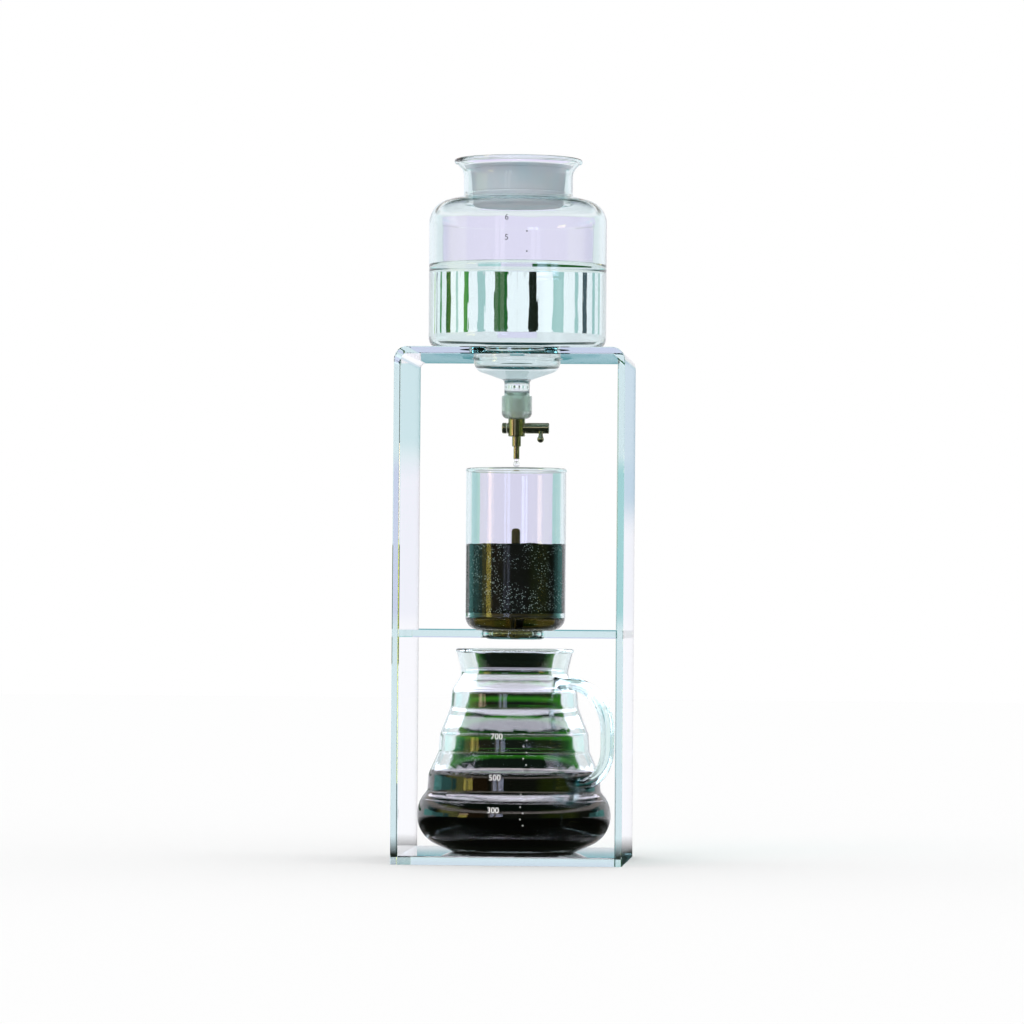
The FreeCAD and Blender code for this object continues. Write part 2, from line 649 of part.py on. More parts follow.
# ---------------------------------------------------------------- lid
def mouth_radius(height, clearance):
    """The radius, at that height, of a piece that lies in the jar's flared mouth with that clearance."""
    slope = JAR_LIP_FLARE / JAR_FLARE_HEIGHT
    outside = JAR_WAIST_RADIUS + JAR_LIP_FLARE - slope * (JAR_RIM - height)
    return outside - (JAR_WALL + clearance) * math.hypot(1, slope)


def jar_lid():
    """A cup-shaped plastic lid that hangs by its flange in the jar's flared mouth."""
    top = JAR_RIM - LID_BELOW_RIM
    under = top - LID_FLANGE_THICKNESS
    bottom = top - LID_DEPTH
    foot = JAR_WAIST_RADIUS - JAR_WALL - LID_FOOT_GAP
    plug = foot + LID_TAPER
    ring = foot + LID_RING_PROUD
    ring_top = bottom + LID_RING_HEIGHT
    groove_top = ring_top + LID_RING_PROUD + LID_GROOVE_WIDTH
    edges = rounded_edges(
        [
            (0, bottom, 0),
            (foot, bottom, LID_CORNER),
            (ring, ring_top, LID_GROOVE_EDGE),
            (foot, ring_top + LID_RING_PROUD, LID_GROOVE_EDGE),
            (foot, groove_top, LID_GROOVE_EDGE),
            (ring, groove_top + LID_RING_PROUD, LID_GROOVE_EDGE),
            (plug, under, LID_EDGE),
            (mouth_radius(under, SEAT_GAP), under, LID_FLANGE_EDGE),
            (mouth_radius(top, SEAT_GAP), top, LID_RIM_EDGE),
            (plug - LID_WALL, top, LID_EDGE),
            (foot - LID_WALL, bottom + LID_WALL, LID_CORNER - LID_WALL),
            (0, bottom + LID_WALL, 0),
        ]
    )
    edges.append(Part.LineSegment(point(0, bottom + LID_WALL), point(0, bottom)).toShape())
    return spun(edges)


# ---------------------------------------------------------------- silicone joint
def tap_joint():
    """The silicone stopper: a skirt round the glass neck, a plug inside it and a bore for the tap's stub."""
    skirt_top = TAP_TOP + JOINT_HEIGHT
    outside = NECK_RADIUS + JOINT_SKIRT
    neck_bore = NECK_RADIUS - JAR_WALL
    block = filled(
        [
            (0, TAP_TOP, 0),
            (outside, TAP_TOP, JOINT_CORNER),
            (outside, skirt_top, JOINT_EDGE),
            (0, skirt_top, 0),
        ]
    )
    groove = cylinder(NECK_RADIUS, NECK_END, skirt_top + 1).cut(
        cylinder(neck_bore, NECK_END, skirt_top + 1)
    )
    plug = cylinder(neck_bore, NECK_END, skirt_top + JOINT_PLUG_ABOVE_SKIRT)
    funnel = Part.makeCone(
        TAP_STUB_RADIUS,
        neck_bore - JOINT_FUNNEL_WALL,
        JOINT_PLUG_ABOVE_SKIRT,
        Vector(0, 0, skirt_top),
        UP,
    )
    bore = cylinder(TAP_STUB_RADIUS, TAP_TOP - 1, skirt_top + JOINT_PLUG_ABOVE_SKIRT)
    return block.cut(groove).fuse(plug).cut(bore).cut(funnel).removeSplitter()


# ---------------------------------------------------------------- tap
def valve_body():
    """The tap's turned body, with a barbed stub, a cross bore for the spindle and a socket for the nozzle."""
    barrel = cylinder(TAP_BODY_RADIUS, TAP_BOTTOM, TAP_TOP)
    barrel = barrel.makeChamfer(TURNED_CHAMFER, round_edges(barrel))
    bosses = across_x(TAP_BOSS_RADIUS, -BOSS_END_X, BOSS_END_X)
    barb_pitch = TAP_STUB_LENGTH / (TAP_BARBS + 1)
    stub = cylinder(TAP_STUB_RADIUS - TAP_BARB_DEPTH, TAP_TOP - 1, TAP_TOP + TAP_STUB_LENGTH)
    for i in range(TAP_BARBS):
        foot = TAP_TOP + TAP_STUB_LENGTH - (i + 1) * barb_pitch
        stub = stub.fuse(
            Part.makeCone(
                TAP_STUB_RADIUS,
                TAP_STUB_RADIUS - TAP_BARB_DEPTH,
                barb_pitch * TAP_BARB_SHARE,
                Vector(0, 0, foot),
                UP,
            )
        )
    body = barrel.fuse([bosses, stub])
    flow = cylinder(TAP_BORE_RADIUS, TAP_BOTTOM - 1, TAP_TOP + TAP_STUB_LENGTH + 1)
    socket = cylinder(NOZZLE_SPIGOT_RADIUS, TAP_BOTTOM - 1, TAP_BOTTOM + NOZZLE_SPIGOT_LENGTH)
    cross = across_x(SPINDLE_PLUG_RADIUS + RUNNING_GAP, -BOSS_END_X - 1, BOSS_END_X + 1)
    return body.cut(flow).cut(socket).cut(cross).removeSplitter()


def drip_nozzle():
    """The stepped outlet tube, with a spigot up into the tap's body."""
    shoulder = NOZZLE_TIP + NOZZLE_TUBE_LENGTH
    outline = [
        (NOZZLE_TUBE_RADIUS, NOZZLE_TIP, 0),
        (NOZZLE_TUBE_RADIUS, shoulder, 0),
        (NOZZLE_UPPER_RADIUS, shoulder, NOZZLE_STEP_ROUNDING),
        (NOZZLE_UPPER_RADIUS, TAP_BOTTOM, 0),
        (NOZZLE_SPIGOT_RADIUS, TAP_BOTTOM, 0),
        (NOZZLE_SPIGOT_RADIUS, TAP_BOTTOM + NOZZLE_SPIGOT_LENGTH, 0),
    ]
    bore = cylinder(NOZZLE_BORE_RADIUS, NOZZLE_TIP - 1, TAP_BOTTOM + NOZZLE_SPIGOT_LENGTH + 1)
    return filled(outline).cut(bore)


KNOB_START = BOSS_END_X + SEAT_GAP / 2
KNOB_END = KNOB_START + KNOB_LENGTH
CAP_START = -(BOSS_END_X + WASHER_THICKNESS + SEAT_GAP)
TAIL_END = CAP_START - CAP_LENGTH + CAP_END_WALL
PIN_X = KNOB_END - PIN_FROM_KNOB_END
O_RING_GROOVE = SPINDLE_PLUG_RADIUS + RUNNING_GAP / 2 - O_RING_SECTION


def valve_spindle():
    """The turning plug: a knob, a port through the middle, a metering notch, two ring grooves and a tail."""
    knob = across_x(TAP_BOSS_RADIUS, KNOB_START, KNOB_END)
    knob = knob.makeChamfer(TURNED_CHAMFER, round_edges(knob))
    plug = across_x(SPINDLE_PLUG_RADIUS, -BOSS_END_X, KNOB_START)
    tail = across_x(TAIL_RADIUS, TAIL_END, -BOSS_END_X)
    spindle = knob.fuse([plug, tail])
    for side in (-1, 1):
        middle = side * O_RING_SPACING / 2
        half = O_RING_SECTION / 2 + O_RING_SIDE_GAP
        groove = across_x(SPINDLE_PLUG_RADIUS + 1, middle - half, middle + half)
        core = across_x(O_RING_GROOVE, middle - O_RING_SECTION, middle + O_RING_SECTION)
        spindle = spindle.cut(groove.cut(core))
    centre = Vector(0, 0, SPINDLE_Z)
    port = cylinder(PORT_RADIUS, SPINDLE_Z - TAP_BODY_RADIUS, SPINDLE_Z + TAP_BODY_RADIUS)
    # The port stands upright when the lever hangs straight down, and lies turned by the pin's angle at rest.
    port.rotate(centre, ALONG_X, PIN_ANGLE - 90)
    notch = Part.makeBox(
        METERING_NOTCH,
        METERING_NOTCH,
        2 * SPINDLE_PLUG_RADIUS,
        Vector(-METERING_NOTCH / 2, -SPINDLE_PLUG_RADIUS, SPINDLE_Z - SPINDLE_PLUG_RADIUS),
    )
    return spindle.cut(port).cut(notch).cut(pin_hole())


def pin_hole():
    """The round hole in the knob that holds the lever pin."""
    return turned_to_pin(
        Part.makeCylinder(PIN_RADIUS, TAP_BOSS_RADIUS + 1, Vector(PIN_X, 0, SPINDLE_Z), Vector(0, 0, -1))
    )


def turned_to_pin(shape):
    """Turns a shape that hangs straight down from the spindle to the lever's resting angle."""
    shape.rotate(Vector(0, 0, SPINDLE_Z), ALONG_X, PIN_ANGLE - 90)
    return shape


def lever_pin():
    """The small lever: a pin pressed into the knob, a collar on the knob's face, and a ball on the end."""
    down = Vector(0, 0, -1)
    start = Vector(PIN_X, 0, SPINDLE_Z)
    root = Part.makeCylinder(PIN_RADIUS, PIN_REACH, start, down)
    collar = Part.makeCone(
        PIN_COLLAR_RADIUS,
        PIN_RADIUS,
        PIN_COLLAR_SUNK + PIN_COLLAR_LENGTH,
        start + down * (TAP_BOSS_RADIUS - PIN_COLLAR_SUNK),
        down,
    ).cut(across_x(TAP_BOSS_RADIUS, KNOB_START, KNOB_END))
    ball = Part.makeSphere(PIN_BALL_RADIUS, start + down * PIN_REACH)
    ball_top = PIN_REACH - PIN_BALL_RADIUS
    meets_ball = PIN_REACH - math.sqrt(PIN_BALL_RADIUS**2 - PIN_NECK_SPREAD**2)
    neck = Part.makeCone(
        PIN_RADIUS,
        PIN_NECK_SPREAD,
        meets_ball - ball_top + PIN_NECK_LENGTH,
        start + down * (ball_top - PIN_NECK_LENGTH),
        down,
    )
    return turned_to_pin(root.fuse([collar, neck, ball]).removeSplitter())


def spindle_cap():
    """The round nut on the spindle's tail, which draws the plug into the body."""
    cap = across_x(TAP_BOSS_RADIUS, CAP_START - CAP_LENGTH, CAP_START)
    outer = [edge for edge in round_edges(cap) if edge.CenterOfMass.x < CAP_START - CAP_LENGTH / 2]
    cap = cap.makeFillet(CAP_ROUNDING, outer)
    return cap.cut(across_x(TAIL_RADIUS, TAIL_END, CAP_START + 1))


def spindle_washer():
    """The thin washer between the tap's body and the cap."""
    start = CAP_START
    washer = across_x(WASHER_RADIUS, start, start + WASHER_THICKNESS)
    return washer.cut(across_x(TAIL_RADIUS, start - 1, start + 1))


def spindle_o_rings():
    """The two seal rings of the spindle, as separate solids."""
    mean = O_RING_GROOVE + O_RING_SECTION / 2
    rings = [ring_on_x(O_RING_SECTION, mean, side * O_RING_SPACING / 2) for side in (-1, 1)]
    return Part.makeCompound(rings)


PIECES = {
    "stand_frame": stand_frame,
    "shelf_plate": shelf_plate,
    "base_plate": base_plate,
    "server_jug": server_jug,
    "server_handle": server_handle,
    "coffee_bowl": coffee_bowl,
    "strainer_disc": strainer_disc,
    "strainer_gasket": strainer_gasket,
    "strainer_mesh": strainer_mesh,
    "strainer_stem": strainer_stem,
    "water_jar": water_jar,
    "jar_lid": jar_lid,
    "tap_joint": tap_joint,
    "valve_body": valve_body,
    "drip_nozzle": drip_nozzle,
    "valve_spindle": valve_spindle,
    "lever_pin": lever_pin,
    "spindle_cap": spindle_cap,
    "spindle_washer": spindle_washer,
    "spindle_o_rings": spindle_o_rings,
}

os.makedirs("parts", exist_ok=True)
for name, make in PIECES.items():
    piece = make()
    solids = piece.Solids
    if not solids or not all(solid.isValid() and solid.Volume > 0 for solid in solids):
        raise ValueError(f"{name} isn't made of valid solids")
    piece.exportStep(f"parts/{name}.step")
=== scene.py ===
"""Looks of the cold drip coffee tower: its finishes, the water and coffee in it, and the printed marks.

Everything is in metres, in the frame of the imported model: +Z up, front towards -Y, origin on the table.
"""

import math
import random

import bmesh
import bpy
from mathutils import Matrix, Vector
from mathutils.bvhtree import BVHTree


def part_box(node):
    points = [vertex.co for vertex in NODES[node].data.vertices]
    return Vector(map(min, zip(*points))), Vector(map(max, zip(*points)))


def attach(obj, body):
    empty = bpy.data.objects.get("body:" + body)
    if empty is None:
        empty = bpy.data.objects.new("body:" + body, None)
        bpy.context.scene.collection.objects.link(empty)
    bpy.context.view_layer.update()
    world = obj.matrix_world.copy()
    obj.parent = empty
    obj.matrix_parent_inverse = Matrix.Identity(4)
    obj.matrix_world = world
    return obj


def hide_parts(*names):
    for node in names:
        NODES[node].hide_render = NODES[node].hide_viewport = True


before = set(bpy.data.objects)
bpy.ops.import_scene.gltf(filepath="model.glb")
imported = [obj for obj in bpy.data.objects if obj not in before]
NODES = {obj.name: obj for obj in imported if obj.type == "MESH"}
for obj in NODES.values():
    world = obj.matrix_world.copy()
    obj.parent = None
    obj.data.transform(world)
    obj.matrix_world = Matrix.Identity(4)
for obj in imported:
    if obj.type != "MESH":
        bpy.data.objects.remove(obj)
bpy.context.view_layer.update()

MM = 0.001
FULL_TURN = 2 * math.pi
UP = Vector((0, 0, 1))

# ---------------------------------------------------------------- camera
IMAGE_SIDE = 1024
FOCAL_PIXELS = 5177
SENSOR = 36.0
CAMERA_DISTANCE = 3.6
CAMERA_AZIMUTH = math.radians(4.1)  # to the tower's right
CAMERA_HEIGHT = 0.180
AIM_HEIGHT = 0.242
AIM_LEFT = 0.0028
CAMERA_ROLL = math.radians(0.43)

# ---------------------------------------------------------------- light
SKY_LEVEL = 0.95  # of the plain light on everything matt
SUN_STRENGTH = 0.42
SUN_ANGLE = math.radians(24)
SUN_TILT = math.radians(38)
SUN_AZIMUTH = math.radians(-35)
FLOOR_SIDE = 12.0
FLOOR_Z = -0.0002  # a plate that lies on a table has a little air under it
# The floor's painted reflection in mirror images: dark near the tower, a little lighter farther out.
FLOOR_IN_MIRRORS = "#20231d"
FAR_FLOOR_IN_MIRRORS = "#28302c"
MOST_BOUNCES = 48
RIPPLE_SCALE = 26.0  # waves in a metre
STRIP_RADIUS = 1.5  # from the tower's axis to the glowing strips in front

# The surroundings that glass, water and metal show, in plain colours.
BACKGROUND = "#fbfaff"
ROOM = "#3a4034"
LEAF = "#1d5a26"
SPRIG = "#7fb51c"
FERN = "#3f8a45"
SLATE = "#46565e"
SEA = "#3c6c70"
MIST = "#a9c8c8"
LILAC = "#efe4fc"
AQUA = "#a9d6dc"
PALE_AQUA = "#c4e4e6"
BRASS = "#d6d684"
BROWN = "#57452c"
OLIVE = "#56682c"
PLATE_TEAL = "#6aabb4"
CEILING = "#27382f"
WINDOW = "#f2e6e6"
NIGHT = "#0d130e"
MASK_OFF = "#000000"
MASK_ON = "#ffffff"
FRESH_GREEN = "#3c8a20"
DEEP_GREEN = "#1d4a1c"

# Upright bands of foliage and sky behind the water, drawn at random. Sizes are in degrees round the tower.
BAND_SEED = 1
BAND_REACH = 50  # to each side of straight behind the tower
BAND_WIDTH = (1.0, 4.5)
BAND_GAP = (2.5, 5.5)
BAND_COLOURS = (LEAF, FERN, SLATE, MIST, SPRIG, NIGHT)

# ---------------------------------------------------------------- what the tower holds
WATER_TOP = 0.4129
COFFEE_TOP = 0.0610
GROUNDS_TOP = 0.2190


# ---------------------------------------------------------------- node trees
def srgb(code):
    """A linear colour from an sRGB hex code."""
    parts = [int(code[i : i + 2], 16) / 255 for i in (1, 3, 5)]
    return tuple(p / 12.92 if p <= 0.04045 else ((p + 0.055) / 1.055) ** 2.4 for p in parts) + (1.0,)


def add(tree, kind, sockets=None, **properties):
    """Adds a shader node. A socket is given a value, or another node's output to be joined to."""
    node = tree.nodes.new("ShaderNode" + kind)
    for name, value in properties.items():
        setattr(node, name, value)
    for name, value in (sockets or {}).items():
        if isinstance(value, bpy.types.NodeSocket):
            tree.links.new(value, node.inputs[name])
        else:
            node.inputs[name].default_value = value
    return node


def new_material(name):
    """An empty material, with its tree and its output node."""
    material = bpy.data.materials.new(name)
    material.use_nodes = True
    material.node_tree.nodes.clear()
    output = add(material.node_tree, "OutputMaterial")
    return material, material.node_tree, output


def ramp(tree, factor, stops, interpolation="LINEAR"):
    """A colour ramp from (position, hex colour) stops."""
    node = add(tree, "ValToRGB", {"Fac": factor})
    node.color_ramp.interpolation = interpolation
    elements = node.color_ramp.elements
    while len(elements) < len(stops):
        elements.new(0.5)
    for element, (place, code) in zip(elements, stops):
        element.position = place
        element.color = srgb(code)
    return node.outputs["Color"]


def clear_material(name, ior, absorption, density, shadow="#f4fbfa", bump=None):
    """A clear solid: refraction, absorption by depth, and a surface that lets lamps through."""
    material, tree, output = new_material(name)
    sockets = {"Base Color": (1, 1, 1, 1), "Roughness": 0.0, "IOR": ior, "Transmission Weight": 1.0}
    if bump:
        sockets["Normal"] = bump(tree)
    body = add(tree, "BsdfPrincipled", sockets)
    passing = add(tree, "BsdfTransparent", {"Color": srgb(shadow)})
    ray = add(tree, "LightPath")
    surface = add(tree, "MixShader", {0: ray.outputs["Is Shadow Ray"], 1: body.outputs[0], 2: passing.outputs[0]})
    depth = add(tree, "VolumeAbsorption", {"Color": absorption, "Density": density})
    tree.links.new(surface.outputs[0], output.inputs["Surface"])
    tree.links.new(depth.outputs[0], output.inputs["Volume"])
    return material


def object_noise(tree, size, detail=2.0, stretch=(1, 1, 1)):
    """Noise in object space with features of that size in metres."""
    place = add(tree, "TexCoord").outputs["Object"]
    mapped = add(tree, "Mapping", {"Vector": place, "Scale": stretch})
    noise = add(tree, "TexNoise", {"Vector": mapped.outputs[0], "Scale": 1 / size, "Detail": detail})
    return noise.outputs["Fac"]


def bumped(tree, height, depth, strength=1.0):
    """A bumped normal from a height between 0 and 1, that many metres deep."""
    return add(tree, "Bump", {"Height": height, "Distance": depth, "Strength": strength}).outputs[0]


# ---------------------------------------------------------------- finishes
def cast_acrylic():
    """Cast acrylic (PMMA) sheet, diamond-polished edges: clear through its thickness, sea green along its length."""
    return clear_material("cast_acrylic", 1.49, (0.0, 0.66, 0.70, 1), 2.2)


def blown_borosilicate():
    """Borosilicate glass, blown and fire-polished: slightly wavy, cool green at its rims."""

    def wavy(tree):
        return bumped(tree, object_noise(tree, 0.018, stretch=(1, 1, 0.6)), 0.00003)

    return clear_material("blown_borosilicate", 1.474, (0.05, 0.78, 0.79, 1), 28.0, bump=wavy)


def still_water():
    """Cold water: clear, with a breath of blue green through the whole jar."""
    return clear_material("still_water", 1.333, (0.3, 0.85, 0.9, 1), 0.9)


def brewed_coffee():
    """Cold brew: black in depth and red brown where it is thin."""
    return clear_material("brewed_coffee", 1.34, (0.62, 0.10, 0.02, 1), 230.0, shadow="#b08a66")


def first_coffee():
    """The coffee that has just passed the strainer: amber brown in a shallow layer."""
    return clear_material("first_coffee", 1.335, (0.53, 0.47, 0.10, 1), 105.0, shadow="#c9b48c")


def satin_nickel(name, across):
    """Nickel-plated brass, turned: soft reflections drawn out round its axis by fine tool lines."""
    material, tree, output = new_material(name)
    line_pitch = 0.25 * MM  # real lines are finer, these are as coarse as shows
    place = add(tree, "TexCoord").outputs["Object"]
    lines = add(
        tree,
        "TexWave",
        {"Vector": place, "Scale": 1 / (line_pitch * 20), "Distortion": 0.6, "Detail": 1.0},
        bands_direction=across,
    )
    wear = ramp(tree, object_noise(tree, 0.004, 3.0), [(0.35, "#bcbea0"), (0.7, "#cccbb0")])
    rough = add(tree, "MapRange", {"Value": object_noise(tree, 0.0015), "To Min": 0.10, "To Max": 0.20})
    body = add(
        tree,
        "BsdfPrincipled",
        {
            "Base Color": wear,
            "Metallic": 1.0,
            "Roughness": rough.outputs[0],
            "Normal": bumped(tree, lines.outputs["Fac"], 0.000004),
        },
    )
    tree.links.new(body.outputs[0], output.inputs["Surface"])
    return material


def milky_silicone():
    """Moulded food-grade silicone: milky, with the metal stub showing through as a soft shadow."""
    material, tree, output = new_material("milky_silicone")
    body = add(
        tree,
        "BsdfPrincipled",
        {
            "Base Color": srgb("#effcf5"),
            "Roughness": 0.22,
            "IOR": 1.41,
            "Transmission Weight": 0.82,
            "Subsurface Weight": 0.3,
            "Subsurface Radius": (1.0, 1.0, 0.9),
            "Subsurface Scale": 0.003,
            "Normal": bumped(tree, object_noise(tree, 0.0008), 0.00002),
        },
    )
    tree.links.new(body.outputs[0], output.inputs["Surface"])
    return material


def frosted_polypropylene():
    """Injection-moulded polypropylene with a spark-eroded face: frosted cool grey, glowing a little at its edges, its
    foot darker as painted shade.
    """
    material, tree, output = new_material("frosted_polypropylene")
    height = add(tree, "SeparateXYZ", {0: add(tree, "TexCoord").outputs["Object"]}).outputs["Z"]
    # Painted shade: below the groove the lid's foot is painted a darker teal grey than its top.
    foot = add(tree, "MapRange", {"Value": height, "From Min": 0.4485, "From Max": 0.4525})
    upper = ramp(tree, object_noise(tree, 0.03), [(0.35, "#e6f2ff"), (0.65, "#faf4ff")])
    shade = add(tree, "Mix", {0: foot.outputs[0], 6: srgb("#c8e4e6"), 7: upper}, data_type="RGBA").outputs[2]
    body = add(
        tree,
        "BsdfPrincipled",
        {
            "Base Color": shade,
            "Roughness": 0.42,
            "IOR": 1.49,
            "Subsurface Weight": 0.2,
            "Subsurface Radius": (1.0, 1.0, 1.1),
            "Subsurface Scale": 0.005,
            "Normal": bumped(tree, object_noise(tree, 0.0005), 0.00002),
        },
    )
    tree.links.new(body.outputs[0], output.inputs["Surface"])
    return material


def moulded_plastic(name, code, roughness, grain=0.0006):
    """A solid moulded or ground plastic or rubber, with a fine matt grain."""
    material, tree, output = new_material(name)
    body = add(
        tree,
        "BsdfPrincipled",
        {
            "Base Color": srgb(code),
            "Roughness": roughness,
            "Normal": bumped(tree, object_noise(tree, grain), 0.00003),
        },
    )
    tree.links.new(body.outputs[0], output.inputs["Surface"])
    return material


def filter_cloth():
    """Woven polyester filter cloth: a fine square weave, stained by coffee."""
    material, tree, output = new_material("filter_cloth")
    thread = 0.35 * MM
    place = add(tree, "TexCoord").outputs["Object"]
    waves = []
    for direction in ("X", "Y"):
        wave = add(tree, "TexWave", {"Vector": place, "Scale": 1 / (thread * 20)}, bands_direction=direction)
        waves.append(wave.outputs["Fac"])
    weave = add(tree, "Math", {0: waves[0], 1: waves[1]}, operation="MULTIPLY")
    shade = ramp(tree, weave.outputs[0], [(0.0, "#3a2c1c"), (1.0, "#a8977a")])
    body = add(
        tree,
        "BsdfPrincipled",
        {"Base Color": shade, "Roughness": 0.8, "Normal": bumped(tree, weave.outputs[0], 0.00008)},
    )
    tree.links.new(body.outputs[0], output.inputs["Surface"])
    return material


def wet_grounds():
    """Coarse coffee grounds, soaked: nearly black, with glistening grains, each painted lighter at its middle as a
    painted highlight, and tiny trapped air bubbles.
    """
    material, tree, output = new_material("wet_grounds")
    place = add(tree, "TexCoord").outputs["Object"]
    grain = add(tree, "TexVoronoi", {"Vector": place, "Scale": 1 / 0.0011, "Randomness": 1.0})
    bubbles = add(tree, "TexVoronoi", {"Vector": place, "Scale": 1 / 0.0013, "Randomness": 1.0})
    cluster = add(
        tree,
        "MapRange",
        {"Value": object_noise(tree, 0.012), "From Min": 0.44, "From Max": 0.56},
    )
    spot = add(tree, "MapRange", {"Value": bubbles.outputs["Distance"], "From Min": 0.30, "From Max": 0.18})
    air = add(tree, "Math", {0: spot.outputs[0], 1: cluster.outputs[0]}, operation="MULTIPLY")
    # Painted highlight: each grain is painted lighter at its middle than at its edges.
    shade = ramp(tree, grain.outputs["Distance"], [(0.0, "#12110e"), (0.35, "#080807"), (0.9, "#030303")])
    colour = add(
        tree,
        "Mix",
        {0: air.outputs[0], 6: shade, 7: srgb("#c9dcdb")},
        data_type="RGBA",
    )
    body = add(
        tree,
        "BsdfPrincipled",
        {
            "Base Color": colour.outputs[2],
            "Roughness": 0.32,
            "IOR": 1.38,
            "Coat Weight": 0.25,
            "Coat Roughness": 0.08,
            "Normal": bumped(tree, grain.outputs["Distance"], 0.0004, 0.7),
        },
    )
    tree.links.new(body.outputs[0], output.inputs["Surface"])
    return material


def printed_enamel(name, code):
    """Screen-printed ceramic ink, fired onto the glass: thin, opaque and slightly rough."""
    material, tree, output = new_material(name)
    body = add(
        tree,
        "BsdfPrincipled",
        {
            "Base Color": srgb(code),
            "Roughness": 0.45,
            "Normal": bumped(tree, object_noise(tree, 0.0003), 0.00001),
        },
    )
    tree.links.new(body.outputs[0], output.inputs["Surface"])
    return material


# ---------------------------------------------------------------- shapes
def linked(name, mesh):
    """A new object with that mesh, in the scene."""
    piece = bpy.data.objects.new(name, mesh)
    bpy.context.scene.collection.objects.link(piece)
    return piece


def dress(piece, material):
    """Gives a piece, or a CAD node, that one material."""
    piece.data.materials.clear()
    piece.data.materials.append(material)


def spun_piece(name, outline, steps=160):
    """A solid of revolution about Z from (radius, height) points, which start and end on the axis."""
    bm = bmesh.new()
    verts = [bm.verts.new((radius, 0, height)) for radius, height in outline]
    edges = [bm.edges.new(pair) for pair in zip(verts, verts[1:])]
    bmesh.ops.spin(
        bm, geom=verts + edges, cent=(0, 0, 0), axis=UP, angle=FULL_TURN, steps=steps, use_merge=True
    )
    bmesh.ops.remove_doubles(bm, verts=bm.verts, dist=1e-6)
    bmesh.ops.dissolve_degenerate(bm, edges=bm.edges, dist=1e-6)
    bmesh.ops.recalc_face_normals(bm, faces=bm.faces)
    mesh = bpy.data.meshes.new(name)
    bm.to_mesh(mesh)
    bm.free()
    mesh.shade_smooth()
    return linked(name, mesh)


def surface_of(node):
    """A search tree over a CAD node's surface."""
    bm = bmesh.new()
    bm.from_mesh(NODES[node].data)
    tree = BVHTree.FromBMesh(bm)
    bm.free()
    return tree


def inner_radius(tree, height):
    """The radius of a vessel's inner wall at that height."""
    hit = tree.ray_cast(Vector((0, 0, height)), Vector((1, 0, 0)))[0]
    return hit.x if hit else 0.0


def inner_outline(tree, low, high, step=1.5 * MM, finest=0.02 * MM):
    """The inner wall from low to high as (radius, height) points, closer together where it runs nearly level."""

    def between(a, b):
        if b[1] - a[1] < finest or (abs(b[0] - a[0]) < step and b[1] - a[1] < 2 * step):
            return [a]
        middle = (a[1] + b[1]) / 2
        spot = (inner_radius(tree, middle), middle)
        return between(a, spot) + between(spot, b)

    ends = [(inner_radius(tree, z), z) for z in (low, high)]
    return between(*ends) + [ends[1]]


def pushed_out(outline, by):
    """The outline moved outwards by that much, so that a liquid meets the glass with no film of air between."""
    moved = []
    for i, (radius, height) in enumerate(outline):
        before = outline[max(i - 1, 0)]
        after = outline[min(i + 1, len(outline) - 1)]
        along = Vector((after[0] - before[0], after[1] - before[1])).normalized()
        moved.append((radius + along.y * by, height - along.x * by))
    return moved


def filled_with(name, node, low, high, meniscus, by=0.25 * MM):
    """A liquid that fills a vessel from low up to high, drawn up a little at the wall."""
    outline = pushed_out(inner_outline(surface_of(node), low, high + meniscus), by)
    edge_radius, edge_height = outline[-1]
    top = []
    steps = 8
    for i in range(1, steps + 1):
        away = i / steps
        top.append((edge_radius - 3.2 * meniscus * away, high + meniscus * (1 - away) ** 2.4))
    return spun_piece(name, [(0, outline[0][1])] + outline + top + [(0, high)])


# ---------------------------------------------------------------- contents
def water_in_jar():
    """The water: from the top of the tap's stub up to its level in the jar."""
    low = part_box("tap_joint")[1].z - 0.3 * MM
    water = filled_with("jar_water", "water_jar", low, WATER_TOP, 0.9 * MM)
    dress(water, still_water())
    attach(water, "jar")


def coffee_in_jug():
    """The brewed coffee in the jug."""
    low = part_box("server_jug")[0].z + 4.4 * MM
    coffee = filled_with("jug_coffee", "server_jug", low, COFFEE_TOP, 1.2 * MM)
    dress(coffee, brewed_coffee())
    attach(coffee, "server")


def coffee_under_strainer():
    """The first coffee, between the strainer and the bowl's floor."""
    strainer_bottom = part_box("strainer_mesh")[0].z - 1.7 * MM
    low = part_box("coffee_bowl")[0].z + 2.5 * MM
    liquid = filled_with("bowl_coffee", "coffee_bowl", low, strainer_bottom - 0.4 * MM, 0.4 * MM)
    dress(liquid, first_coffee())
    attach(liquid, "bowl")


